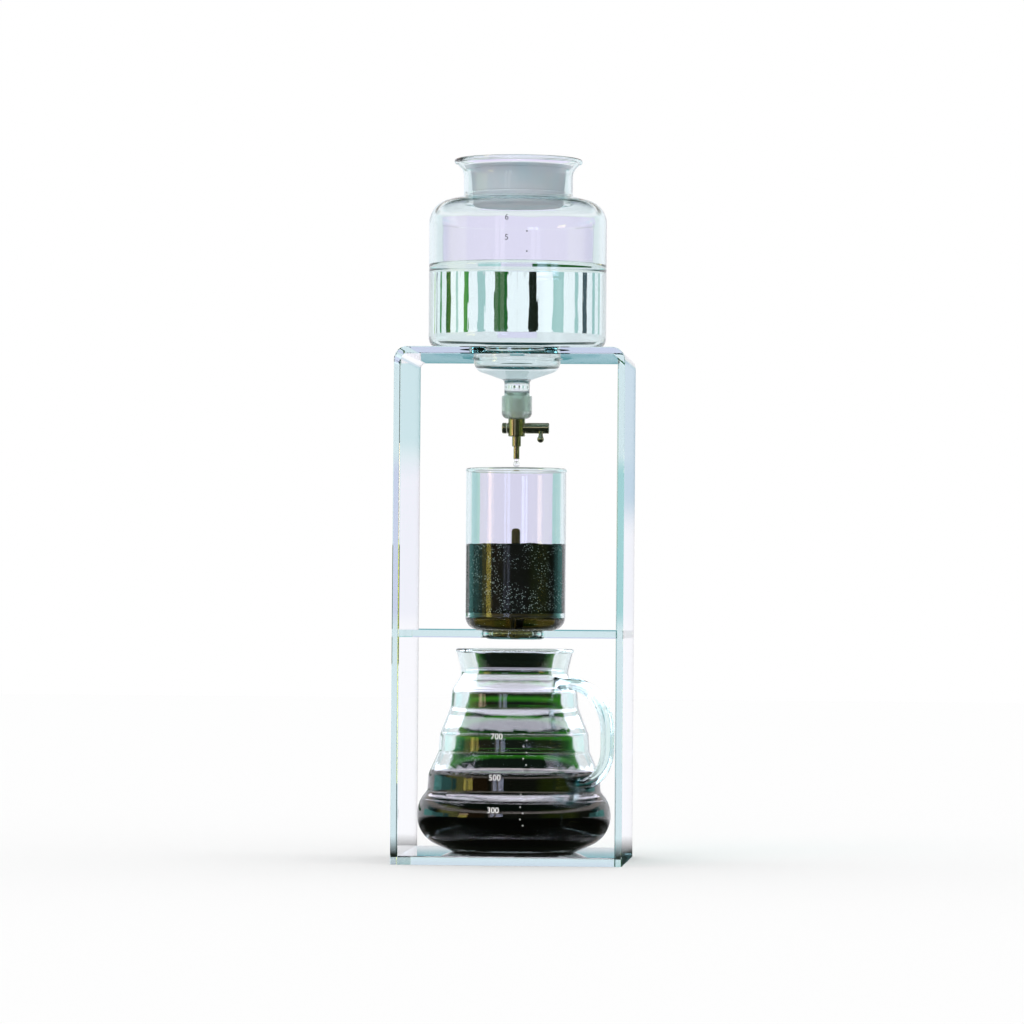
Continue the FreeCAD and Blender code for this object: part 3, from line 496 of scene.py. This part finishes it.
def bed_of_grounds():
    """The soaked grounds on the strainer, round its stem, with an uneven top."""
    random.seed(7)
    glass = surface_of("coffee_bowl")
    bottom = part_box("strainer_disc")[1].z + 0.05 * MM
    outside = inner_radius(glass, GROUNDS_TOP) + 0.15 * MM
    hole = 3.1 * MM
    collar = 5.4 * MM
    collar_top = bottom + 3.4 * MM
    outline = [(collar, bottom), (outside - 0.6 * MM, bottom), (outside, bottom + 0.6 * MM)]
    rise = 24
    for i in range(1, rise):
        outline.append((outside, bottom + 0.6 * MM + (GROUNDS_TOP - bottom) * i / rise))
    rings = 16
    for i in range(rings + 1):
        share = i / rings
        outline.append((outside + (hole - outside) * share, GROUNDS_TOP))
    outline += [(hole, collar_top), (collar, collar_top), (collar, bottom)]
    bm = bmesh.new()
    verts = [bm.verts.new((radius, 0, height)) for radius, height in outline[:-1]]
    edges = [bm.edges.new(pair) for pair in zip(verts, verts[1:] + verts[:1])]
    bmesh.ops.spin(
        bm, geom=verts + edges, cent=(0, 0, 0), axis=UP, angle=FULL_TURN, steps=144, use_merge=True
    )
    bmesh.ops.recalc_face_normals(bm, faces=bm.faces)
    lumps = [
        (random.uniform(-outside, outside), random.uniform(-outside, outside), random.uniform(-1.2, 1.4) * MM)
        for _ in range(60)
    ]
    for vert in bm.verts:
        if vert.co.z < GROUNDS_TOP - 1.5 * MM:
            continue
        lift = 0.0
        for x, y, height in lumps:
            away = math.hypot(vert.co.x - x, vert.co.y - y) / (5 * MM)
            lift += height * math.exp(-away * away)
        rim = math.hypot(vert.co.x, vert.co.y) / outside
        vert.co.z += 0.55 * lift + 1.2 * MM * (rim**4 - 0.3) + random.uniform(-0.15, 0.15) * MM
    mesh = bpy.data.meshes.new("coffee_grounds")
    bm.to_mesh(mesh)
    bm.free()
    mesh.shade_smooth()
    bed = linked("coffee_grounds", mesh)
    dress(bed, wet_grounds())
    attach(bed, "strainer")


def hanging_drop():
    """The drop that is about to fall from the nozzle."""
    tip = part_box("drip_nozzle")[0].z
    length = 6.0 * MM
    outline = []
    steps = 24
    for i in range(steps + 1):
        share = i / steps
        neck = 1.7 * MM * (1 - share) ** 0.6
        belly = 2.4 * MM * math.sqrt(max(0.0, 1 - ((share - 0.62) / 0.38) ** 2)) if share > 0.24 else 0.0
        outline.append((max(neck, belly) if share < 1 else 0, tip + 0.1 * MM - length * share))
    drop = spun_piece("water_drop", [(0, outline[0][1])] + outline, steps=48)
    dress(drop, bpy.data.materials["still_water"])
    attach(drop, "jar")


# ---------------------------------------------------------------- printed marks
def printed(name, body, node, material, items):
    """Marks bent onto the front of a glass node. Each item is (text or None for a dot, x, z, height) in metres."""
    tree = surface_of(node)
    bm = bmesh.new()
    for text, x, z, height in items:
        if text is None:
            made = bmesh.ops.create_circle(bm, cap_ends=True, segments=16, radius=height / 2)
            bmesh.ops.translate(bm, verts=made["verts"], vec=(x, z, 0))
            continue
        curve = bpy.data.curves.new(name, "FONT")
        curve.body = text
        curve.size = height * 1.4
        curve.align_x = "CENTER"
        curve.align_y = "CENTER"
        holder = linked(name + "_text", curve)
        flat = bpy.data.meshes.new_from_object(holder)
        flat.transform(Matrix.Translation((x, z, 0)))
        bm.from_mesh(flat)
        bpy.data.objects.remove(holder)
        bpy.data.curves.remove(curve)
        bpy.data.meshes.remove(flat)
    bmesh.ops.remove_doubles(bm, verts=bm.verts, dist=1e-6)
    bmesh.ops.triangulate(bm, faces=bm.faces)
    for vert in bm.verts:
        start = Vector((vert.co.x, -1.0, vert.co.y))
        spot, normal, _, _ = tree.ray_cast(start, Vector((0, 1, 0)))
        vert.co = spot + normal * 0.03 * MM
    bmesh.ops.recalc_face_normals(bm, faces=bm.faces)
    mesh = bpy.data.meshes.new(name)
    bm.to_mesh(mesh)
    bm.free()
    marks = linked(name, mesh)
    dress(marks, material)
    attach(marks, body)


# ---------------------------------------------------------------- finishes of the CAD nodes
def finish_nodes():
    """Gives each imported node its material."""
    acrylic = cast_acrylic()
    glass = blown_borosilicate()
    upright = satin_nickel("satin_nickel_upright", "Z")
    crosswise = satin_nickel("satin_nickel_crosswise", "X")
    strainer = moulded_plastic("brown_polypropylene", "#4b3d18", 0.38)
    finishes = {
        "stand_frame": acrylic,
        "shelf_plate": acrylic,
        "base_plate": acrylic,
        "server_jug": glass,
        "server_handle": glass,
        "coffee_bowl": glass,
        "water_jar": glass,
        "jar_lid": frosted_polypropylene(),
        "tap_joint": milky_silicone(),
        "valve_body": upright,
        "drip_nozzle": upright,
        "valve_spindle": crosswise,
        "lever_pin": upright,
        "spindle_cap": crosswise,
        "spindle_washer": moulded_plastic("white_ptfe", "#e6e6e0", 0.35),
        "spindle_o_rings": moulded_plastic("nitrile_rubber", "#0b0b0b", 0.5),
        "strainer_disc": strainer,
        "strainer_stem": strainer,
        "strainer_gasket": moulded_plastic("coffee_stained_silicone", "#33291a", 0.35),
        "strainer_mesh": filter_cloth(),
    }
    for node, material in finishes.items():
        dress(NODES[node], material)


def fused_copy(node, chosen):
    """A copy of a CAD node whose chosen vertices move into the piece that the node is fused to.

    Two clear pieces that only touch would show a film of air between them.
    """
    bm = bmesh.new()
    bm.from_mesh(NODES[node].data)
    bmesh.ops.remove_doubles(bm, verts=bm.verts, dist=1e-7)
    for vert in bm.verts:
        vert.co = chosen(vert.co)
    mesh = bpy.data.meshes.new(node + "_fused")
    bm.to_mesh(mesh)
    bm.free()
    piece = linked(node + "_fused", mesh)
    piece.data.materials.append(NODES[node].data.materials[0])
    return piece


def glued_plates():
    """The shelf and the base, whose ends the solvent has made one with the walls."""
    depth = 0.06 * MM
    for node in ("shelf_plate", "base_plate"):
        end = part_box(node)[1].x

        def into_wall(spot, end=end):
            if abs(spot.x) > end - 0.01 * MM:
                spot = Vector((math.copysign(end + depth, spot.x), spot.y, spot.z))
            return spot

        piece = fused_copy(node, into_wall)
        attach(piece, "stand")
        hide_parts(node)


def fused_handle():
    """The jug's handle, with both roots melted into the jug's wall."""
    tree = surface_of("server_jug")

    def into_glass(spot):
        _, normal, _, away = tree.find_nearest(spot)
        if away < 0.12 * MM:
            return spot - normal * 0.7 * MM
        return spot

    piece = fused_copy("server_handle", into_glass)
    piece.data.shade_smooth()
    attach(piece, "server")
    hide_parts("server_handle")


# ---------------------------------------------------------------- studio
def band_stops(bands, ground, low, high):
    """Ramp stops for hard-edged bands, each (start, end, colour), on a ground colour."""
    stops = [(0.0, ground)]
    for start, end, code in sorted(bands):
        place = (start - low) / (high - low)
        if stops[-1][1] == ground and abs(stops[-1][0] - place) < 1e-4:
            stops[-1] = (place, code)
        else:
            stops.append((place, code))
        stops.append(((end - low) / (high - low), ground))
    return stops


def soft_mask(tree, value, low, high, soft):
    """1 between low and high and 0 outside, with edges that wide."""
    edges = []
    for outside, inside in ((low, low + soft), (high, high - soft)):
        sockets = {"Value": value, "From Min": outside, "From Max": inside}
        edges.append(add(tree, "MapRange", sockets, interpolation_type="SMOOTHSTEP").outputs[0])
    return add(tree, "Math", {0: edges[0], 1: edges[1]}, operation="MULTIPLY").outputs[0]


def in_mirrors(tree):
    """1 for what shows as a mirror image, and 0 for what is seen straight or through clear pieces."""
    ray = add(tree, "LightPath")
    mirrored = add(tree, "Math", {0: ray.outputs["Glossy Depth"], 1: 0.5}, operation="GREATER_THAN")
    unlit = add(tree, "Math", {0: ray.outputs["Diffuse Depth"], 1: 0.5}, operation="LESS_THAN")
    return add(tree, "Math", {0: mirrored.outputs[0], 1: unlit.outputs[0]}, operation="MULTIPLY").outputs[0]


def unlit_only(tree, mask):
    """The mask, but 0 for the light that reaches matt pieces."""
    ray = add(tree, "LightPath")
    unlit = add(tree, "Math", {0: ray.outputs["Diffuse Depth"], 1: 0.5}, operation="LESS_THAN")
    return add(tree, "Math", {0: mask, 1: unlit.outputs[0]}, operation="MULTIPLY").outputs[0]


def through_vessel_only(tree, mask):
    """The mask, but 0 for all but the rays that have crossed both walls of one empty vessel."""
    crossings = 4
    ray = add(tree, "LightPath")
    crossed = add(tree, "Math", {0: ray.outputs["Transmission Depth"], 1: crossings, 2: 0.5}, operation="COMPARE")
    return add(tree, "Math", {0: mask, 1: crossed.outputs[0]}, operation="MULTIPLY").outputs[0]


def seen_only_by(thing, glossy, transmission):
    """Hides a stage piece from all rays but glossy or transmitted ones, whichever are asked for."""
    thing.visible_camera = False
    thing.visible_diffuse = False
    thing.visible_shadow = False
    thing.visible_volume_scatter = False
    thing.visible_glossy = glossy
    thing.visible_transmission = transmission


def curved_card(
    name,
    azimuths,
    heights,
    bands,
    soft=0.01,
    radius=3.0,
    glossy=False,
    fade=0.02,
    level=1.0,
    mirrored=False,
    ripple=0.0,
):
    """A glowing card curved round the tower. Its bands run upright, and it fades out at its ends.

    Azimuths are in degrees to the right of straight behind the tower, as the camera sees it. A glossy card shows on
    outer faces and any other inside or through clear pieces, a mirrored one there only in mirror images, and ripple
    is how far in metres the bands' edges waver.
    """
    low, high = azimuths
    shift = -math.degrees(CAMERA_AZIMUTH)
    start = math.radians(low + shift)
    turn = math.radians(high - low)
    bm = bmesh.new()
    foot = bm.verts.new((radius * math.sin(start), radius * math.cos(start), heights[0]))
    head = bm.verts.new((foot.co.x, foot.co.y, heights[1]))
    edge = bm.edges.new((foot, head))
    bmesh.ops.spin(bm, geom=[foot, head, edge], cent=(0, 0, 0), axis=UP, angle=-turn, steps=max(2, int(high - low)))
    mesh = bpy.data.meshes.new(name)
    bm.to_mesh(mesh)
    bm.free()
    thing = linked(name, mesh)
    material, tree, output = new_material(name)
    coordinates = add(tree, "TexCoord").outputs["Object"]
    if ripple:
        noise = add(tree, "TexNoise", {"Vector": coordinates, "Scale": RIPPLE_SCALE, "Detail": 4.0}).outputs["Color"]
        even = add(tree, "VectorMath", {0: noise, 1: (0.5, 0.5, 0.5)}, operation="SUBTRACT").outputs[0]
        waver = add(tree, "VectorMath", {0: even, 1: (ripple, 0, 0.5 * ripple)}, operation="MULTIPLY").outputs[0]
        coordinates = add(tree, "VectorMath", {0: coordinates, 1: waver}, operation="ADD").outputs[0]
    place = add(tree, "SeparateXYZ", {0: coordinates})
    azimuth = add(tree, "Math", {0: place.outputs["X"], 1: place.outputs["Y"]}, operation="ARCTAN2").outputs[0]
    share = add(tree, "MapRange", {"Value": azimuth, "From Min": start, "From Max": start + turn}).outputs[0]
    painted = ramp(tree, share, band_stops(bands, BACKGROUND, low, high), "CONSTANT")
    upright = soft_mask(tree, place.outputs["Z"], heights[0], heights[1], soft)
    sideways = soft_mask(tree, share, 0.0, 1.0, fade)
    mask = add(tree, "Math", {0: upright, 1: sideways}, operation="MULTIPLY").outputs[0]
    if mirrored:
        mask = add(tree, "Math", {0: mask, 1: in_mirrors(tree)}, operation="MULTIPLY").outputs[0]
    mask = unlit_only(tree, mask)
    glow = add(tree, "Emission", {"Color": painted, "Strength": level})
    clear = add(tree, "BsdfTransparent")
    surface = add(tree, "MixShader", {0: mask, 1: clear.outputs[0], 2: glow.outputs[0]})
    tree.links.new(surface.outputs[0], output.inputs["Surface"])
    dress(thing, material)
    seen_only_by(thing, glossy, not glossy)


def dark_card_behind_jug():
    """A dark leafy card well behind the jug, in the jug's own outline, which gives its clear glass bright edges."""
    away = 0.45
    scale = 1 + away / CAMERA_DISTANCE
    cover = 1.38
    tree = surface_of("server_jug")
    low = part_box("server_jug")[0].z + 8 * MM
    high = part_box("server_jug")[1].z - 2 * MM
    rows = 60
    bm = bmesh.new()
    grid = bmesh.ops.create_grid(bm, x_segments=6, y_segments=rows, size=1.0, calc_uvs=False)
    uv = bm.loops.layers.uv.new("card")
    for face in bm.faces:
        for loop in face.loops:
            loop[uv].uv = ((loop.vert.co.x + 1) / 2, (loop.vert.co.y + 1) / 2)
    for vert in grid["verts"]:
        z = low + (high - low) * (vert.co.y + 1) / 2
        half = inner_radius(tree, z) * cover * scale
        vert.co = (vert.co.x * half, away, CAMERA_HEIGHT + (z - CAMERA_HEIGHT) * scale)
    bmesh.ops.rotate(bm, verts=bm.verts, cent=(0, 0, 0), matrix=Matrix.Rotation(CAMERA_AZIMUTH, 3, "Z"))
    mesh = bpy.data.meshes.new("dark_card")
    bm.to_mesh(mesh)
    bm.free()
    thing = linked("dark_card", mesh)
    material, tree, output = new_material("dark_card")
    place = add(tree, "SeparateXYZ", {0: add(tree, "TexCoord").outputs["UV"]})
    across = ramp(
        tree,
        place.outputs["X"],
        [(0.0, FRESH_GREEN), (0.1, DEEP_GREEN), (0.2, NIGHT), (0.8, NIGHT), (0.9, DEEP_GREEN), (1.0, FRESH_GREEN)],
    )
    row_stops = [(0.0, MASK_OFF)]
    for row in range(5):
        middle = 0.45 + 0.1 * row
        row_stops += [(middle - 0.02, MASK_OFF), (middle, MASK_ON), (middle + 0.02, MASK_OFF)]
    rows_green = ramp(tree, place.outputs["Y"], row_stops)
    painted = add(tree, "Mix", {0: rows_green, 6: across, 7: srgb("#2f7a1a")}, data_type="RGBA")
    glow = add(tree, "Emission", {"Color": painted.outputs[2]})
    clear = add(tree, "BsdfTransparent")
    mask = unlit_only(tree, soft_mask(tree, place.outputs["X"], 0.0, 1.0, 0.05))
    mask = through_vessel_only(tree, mask)
    surface = add(tree, "MixShader", {0: mask, 1: clear.outputs[0], 2: glow.outputs[0]})
    tree.links.new(surface.outputs[0], output.inputs["Surface"])
    dress(thing, material)
    seen_only_by(thing, False, True)


def one_sided_glow(name, colour, level):
    """A material that shines on one side, and only in mirror images."""
    material, tree, output = new_material(name)
    back = add(tree, "NewGeometry").outputs["Backfacing"]
    front = add(tree, "Math", {0: 1.0, 1: back}, operation="SUBTRACT").outputs[0]
    mask = add(tree, "Math", {0: front, 1: in_mirrors(tree)}, operation="MULTIPLY").outputs[0]
    glow = add(tree, "Emission", {"Color": srgb(colour), "Strength": level})
    clear = add(tree, "BsdfTransparent")
    surface = add(tree, "MixShader", {0: mask, 1: clear.outputs[0], 2: glow.outputs[0]})
    tree.links.new(surface.outputs[0], output.inputs["Surface"])
    return material


def front_strip(name, azimuth, width, heights, colour, level):
    """An upright glowing strip in front, at degrees to the camera's right, for the mirror images inside the glass."""
    middle = math.radians(azimuth) + CAMERA_AZIMUTH
    half = math.radians(width) / 2
    low, high = heights
    left, right = [(STRIP_RADIUS * math.sin(a), -STRIP_RADIUS * math.cos(a)) for a in (middle - half, middle + half)]
    bm = bmesh.new()
    corners = [(*right, low), (*left, low), (*left, high), (*right, high)]
    bm.faces.new([bm.verts.new(corner) for corner in corners])
    mesh = bpy.data.meshes.new(name)
    bm.to_mesh(mesh)
    bm.free()
    thing = linked(name, mesh)
    dress(thing, one_sided_glow(name, colour, level))
    seen_only_by(thing, False, True)


def camera_spot():
    """Where the camera stands."""
    back = Vector((math.sin(CAMERA_AZIMUTH), -math.cos(CAMERA_AZIMUTH), 0))
    return back * CAMERA_DISTANCE + UP * CAMERA_HEIGHT


def shoulder_lamp(name, low, high, height, level, reach=74):
    """A level lamp that shines downwards, shaped so that its mirror image runs round a shoulder from low to high."""
    tree = surface_of("server_jug")
    eye = camera_spot()
    bm = bmesh.new()
    grid = bmesh.ops.create_grid(bm, x_segments=48, y_segments=6, size=1.0)
    for vert in grid["verts"]:
        turn = math.radians(reach * vert.co.x) + CAMERA_AZIMUTH
        inwards = Vector((-math.sin(turn), math.cos(turn), 0))
        level_spot = UP * (low + (high - low) * (vert.co.y + 1) / 2)
        spot, normal, _, _ = tree.ray_cast(level_spot - inwards * 0.2, inwards)
        away = (spot - eye).normalized().reflect(normal)
        vert.co = spot + away * min((height - spot.z) / max(away.z, 0.01), 0.5)
        vert.co.z = height
    for face in bm.faces:
        face.normal_update()
        if face.normal.z > 0:
            face.normal_flip()
    mesh = bpy.data.meshes.new(name)
    bm.to_mesh(mesh)
    bm.free()
    thing = linked(name, mesh)
    dress(thing, one_sided_glow(name, "#f4f0ff", level))
    seen_only_by(thing, True, True)


def foliage_bands(draw, low, high):
    """Bands between two azimuths in degrees, each (start, end, colour), of random width, spacing and colour."""
    bands = []
    start = low + draw.uniform(*BAND_GAP)
    while start + BAND_WIDTH[1] < high:
        end = start + draw.uniform(*BAND_WIDTH)
        bands.append((start, end, draw.choice(BAND_COLOURS)))
        start = end + draw.uniform(*BAND_GAP)
    return bands


def cards():
    """The dressing round the tower: what the water, the glass and the acrylic show through and on them."""
    draw = random.Random(BAND_SEED)
    for side, low, high in (("left", 0, BAND_REACH), ("right", -BAND_REACH, 0)):
        curved_card(
            "behind_water_" + side,
            (low, high),
            (0.492, 0.609),
            foliage_bands(draw, low, high),
            soft=0.004,
            fade=1e-5,
            level=1.2,
            ripple=0.15,
        )
    curved_card(
        "under_water_surface", (-33, -4), (0.10, 0.25), [(-33, -4, LEAF)], soft=0.004, radius=2.8, mirrored=True
    )
    curved_card("behind_empty_jar", (-6, 6), (0.607, 0.80), [(-6, 6, LILAC)], level=1.08)
    curved_card("under_jar_foot", (-44, 44), (1.15, 1.6), [(-44, 44, "#1c3c3c")], soft=0.1, radius=2.9)
    curved_card(
        "behind_bowl",
        (-13, 13),
        (0.14, 0.37),
        [(-13, -5, PALE_AQUA), (-5, 5, LILAC), (5, 13, PALE_AQUA)],
        soft=0.03,
    )
    walls = (("left", 7.4, 8.25, 0.33, AQUA), ("right", 8.25, 8.9, 0.26, "#bcd4e4"))
    for side, low, high, foot, colour in walls:
        curved_card(
            side + "_wall_mirror", (low, high), (foot, 0.54), [(low, high, colour)], soft=0.06, glossy=True
        )
    curved_card(
        "under_plate_mirror", (-4.6, 4.6), (0.14, 0.33), [(-4.6, 4.6, PLATE_TEAL)], soft=0.02, glossy=True
    )
    lamp_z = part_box("shelf_plate")[0].z - 5 * MM
    lamps = (("upper", 0.1175, 0.1290, 9.0), ("middle", 0.0915, 0.1005, 5.5), ("lower", 0.0618, 0.0648, 4.0))
    for name, low, high, level in lamps:
        shoulder_lamp(name + "_shoulder_lamp", low, high, lamp_z, level)
    front_strip("khaki_strip", -64, 13, (0.0, 0.24), "#b0a04e", 9.0)
    front_strip("peach_strip", -62, 13, (0.24, 0.335), "#d2b094", 7.0)
    for side, azimuth, width in (("left", -26, 4.5), ("right", -17.5, 7)):
        front_strip("window_" + side + "_pane", azimuth, width, (0.12, 0.40), "#c8ccea", 5.0)
    for azimuth, width, level in ((-123, 22, 1.9), (-101, 18, 1.1), (-87, 8, 0.6), (124, 22, 1.7), (106, 12, 0.9)):
        front_strip("edge_strip", azimuth, width, (0.0, 0.235), "#7cc4c0", level)
    dark_card_behind_jug()


def sky():
    """Plain white light on matt pieces, a pale background, and in mirror images a dim room in front."""
    world = bpy.data.worlds.new("white_studio")
    bpy.context.scene.world = world
    world.cycles.sampling_method = "NONE"
    world.use_nodes = True
    tree = world.node_tree
    tree.nodes.clear()
    ray = add(tree, "LightPath")
    way = add(tree, "SeparateXYZ", {0: add(tree, "TexCoord").outputs["Generated"]})
    towards = add(tree, "Math", {0: way.outputs["Y"], 1: -1.0}, operation="MULTIPLY")
    azimuth = add(tree, "Math", {0: way.outputs["X"], 1: towards.outputs[0]}, operation="ARCTAN2")
    share = add(tree, "MapRange", {"Value": azimuth.outputs[0], "From Min": -math.pi, "From Max": math.pi})
    shift = math.degrees(CAMERA_AZIMUTH)

    def front(stops):
        """Ramp positions from degrees to the camera's right."""
        return [((degrees + shift + 180) / 360, code) for degrees, code in stops]

    room = ramp(
        tree,
        share.outputs[0],
        front(
            [(-136, BACKGROUND), (-128, MIST), (-118, SEA), (-108, ROOM), (-97, BRASS), (-74, BRASS), (-69, BROWN)]
            + [(-38, BROWN), (-33, ROOM), (28, ROOM), (40, OLIVE), (78, OLIVE), (88, ROOM), (108, ROOM), (118, SEA)]
            + [(128, MIST), (136, BACKGROUND)]
        ),
    )
    window = ramp(
        tree,
        share.outputs[0],
        front(
            [(-31, MASK_OFF), (-30, MASK_ON), (-25.5, MASK_ON), (-25, "#555555"), (-23.5, "#555555")]
            + [(-23, MASK_ON), (-18, MASK_ON), (-17, MASK_OFF)]
        ),
    )
    panes = soft_mask(tree, way.outputs["Z"], 0.0, 0.45, 0.06)
    window_mask = add(tree, "Math", {0: window, 1: panes}, operation="MULTIPLY")
    room = add(tree, "Mix", {0: window_mask.outputs[0], 6: room, 7: srgb(WINDOW)}, data_type="RGBA").outputs[2]
    lit_ceiling = soft_mask(tree, way.outputs["Z"], 0.24, 0.42, 0.05)
    room = add(tree, "Mix", {0: lit_ceiling, 6: room, 7: srgb("#fff2ec")}, data_type="RGBA").outputs[2]
    height = ramp(tree, way.outputs["Z"], [(0.42, MASK_OFF), (0.50, MASK_ON)])
    room = add(tree, "Mix", {0: height, 6: room, 7: srgb(CEILING)}, data_type="RGBA").outputs[2]
    through = ramp(tree, way.outputs["Z"], [(0.5, BACKGROUND), (0.78, "#74a2a6")])
    room = add(tree, "Mix", {0: in_mirrors(tree), 6: through, 7: room}, data_type="RGBA").outputs[2]
    plain = (SKY_LEVEL,) * 3 + (1.0,)
    matt = add(tree, "Math", {0: ray.outputs["Diffuse Depth"], 1: 0.5}, operation="GREATER_THAN")
    lit = add(tree, "Mix", {0: matt.outputs[0], 6: room, 7: plain}, data_type="RGBA")
    lit = add(
        tree, "Mix", {0: ray.outputs["Is Camera Ray"], 6: lit.outputs[2], 7: (1, 1, 1, 1)}, data_type="RGBA"
    )
    background = add(tree, "Background", {"Color": lit.outputs[2], "Strength": 1.0})
    output = add(tree, "OutputWorld")
    tree.links.new(background.outputs[0], output.inputs["Surface"])


def floor():
    """A plain pale floor that keeps the tower's soft shadow. In mirror images it glows instead as a painted
    reflection, dark near the tower and pale behind it.
    """
    bm = bmesh.new()
    bmesh.ops.create_grid(bm, x_segments=2, y_segments=2, size=FLOOR_SIDE / 2)
    bmesh.ops.translate(bm, verts=bm.verts, vec=(0, 0, FLOOR_Z))
    mesh = bpy.data.meshes.new("floor")
    bm.to_mesh(mesh)
    bm.free()
    ground = linked("floor", mesh)
    material, tree, output = new_material("pale_floor")
    paint = add(tree, "BsdfDiffuse", {"Color": srgb("#f8f8f8")})
    spot = add(tree, "TexCoord").outputs["Object"]
    place = add(tree, "SeparateXYZ", {0: spot})
    away = add(tree, "VectorMath", {0: spot}, operation="LENGTH").outputs["Value"]
    # Painted reflection: mirror images see the floor glow dark near the tower and pale behind it.
    near = ramp(tree, away, [(0.30, FLOOR_IN_MIRRORS), (0.60, FAR_FLOOR_IN_MIRRORS)])
    behind = add(tree, "MapRange", {"Value": place.outputs["Y"], "From Min": 0.12, "From Max": 0.40})
    shown = add(tree, "Mix", {0: behind.outputs[0], 6: near, 7: srgb(BACKGROUND)}, data_type="RGBA")
    mirrored = add(tree, "Emission", {"Color": shown.outputs[2]})
    surface = add(tree, "MixShader", {0: in_mirrors(tree), 1: paint.outputs[0], 2: mirrored.outputs[0]})
    tree.links.new(surface.outputs[0], output.inputs["Surface"])
    dress(ground, material)


def sun():
    """One broad soft lamp from the upper left front."""
    lamp = bpy.data.lights.new("soft_sun", "SUN")
    lamp.energy = SUN_STRENGTH
    lamp.angle = SUN_ANGLE
    lamp.cycles.use_multiple_importance_sampling = False
    holder = linked("soft_sun", lamp)
    holder.rotation_euler = (SUN_TILT, 0, SUN_AZIMUTH)


def camera():
    """The camera, a little to the right, just above the shelf's height."""
    lens = bpy.data.cameras.new("camera")
    lens.sensor_width = SENSOR
    lens.lens = FOCAL_PIXELS / IMAGE_SIDE * SENSOR
    lens.clip_start = 0.05
    holder = linked("camera", lens)
    right = Vector((math.cos(CAMERA_AZIMUTH), math.sin(CAMERA_AZIMUTH), 0))
    spot = camera_spot()
    aim = -right * AIM_LEFT + UP * AIM_HEIGHT
    holder.location = spot
    turn = (aim - spot).to_track_quat("-Z", "Y").to_matrix().to_4x4()
    holder.rotation_mode = "QUATERNION"
    holder.rotation_quaternion = (turn @ Matrix.Rotation(CAMERA_ROLL, 4, "Z")).to_quaternion()
    bpy.context.scene.camera = holder


def light_paths():
    """Enough bounces for the walls within walls of clear material, and light that reaches pieces through glass."""
    cycles = bpy.context.scene.cycles
    cycles.max_bounces = MOST_BOUNCES
    cycles.transmission_bounces = MOST_BOUNCES
    cycles.glossy_bounces = MOST_BOUNCES // 2
    cycles.transparent_max_bounces = 40
    cycles.caustics_reflective = True
    cycles.caustics_refractive = True
    bpy.context.scene.view_settings.view_transform = "Standard"


camera()
sky()
floor()
sun()
cards()
light_paths()
finish_nodes()
glued_plates()
fused_handle()
water_in_jar()
coffee_in_jug()
coffee_under_strainer()
bed_of_grounds()
hanging_drop()
printed(
    "jar_marks",
    "jar",
    "water_jar",
    printed_enamel("grey_enamel", "#4c5356"),
    [
        ("6", -0.0035, 0.4428, 0.0040),
        ("5", -0.0035, 0.4290, 0.0040),
        (None, 0.0104, 0.4333, 0.0011),
        (None, 0.0104, 0.4196, 0.0011),
    ],
)
printed(
    "jug_marks",
    "server",
    "server_jug",
    printed_enamel("white_enamel", "#fdfdfd"),
    [
        ("700", -0.0085, 0.0870, 0.0040),
        ("500", -0.0091, 0.0590, 0.0040),
        ("300", -0.0096, 0.0370, 0.0040),
        *[(None, 0.0100 + 0.0021 * (i % 2), 0.0890 - 0.0042 * i, 0.0008) for i in range(7)],
        *[(None, 0.0090 + 0.0019 * (i % 2), 0.0480 - 0.0042 * i, 0.0008) for i in range(6)],
    ],
)
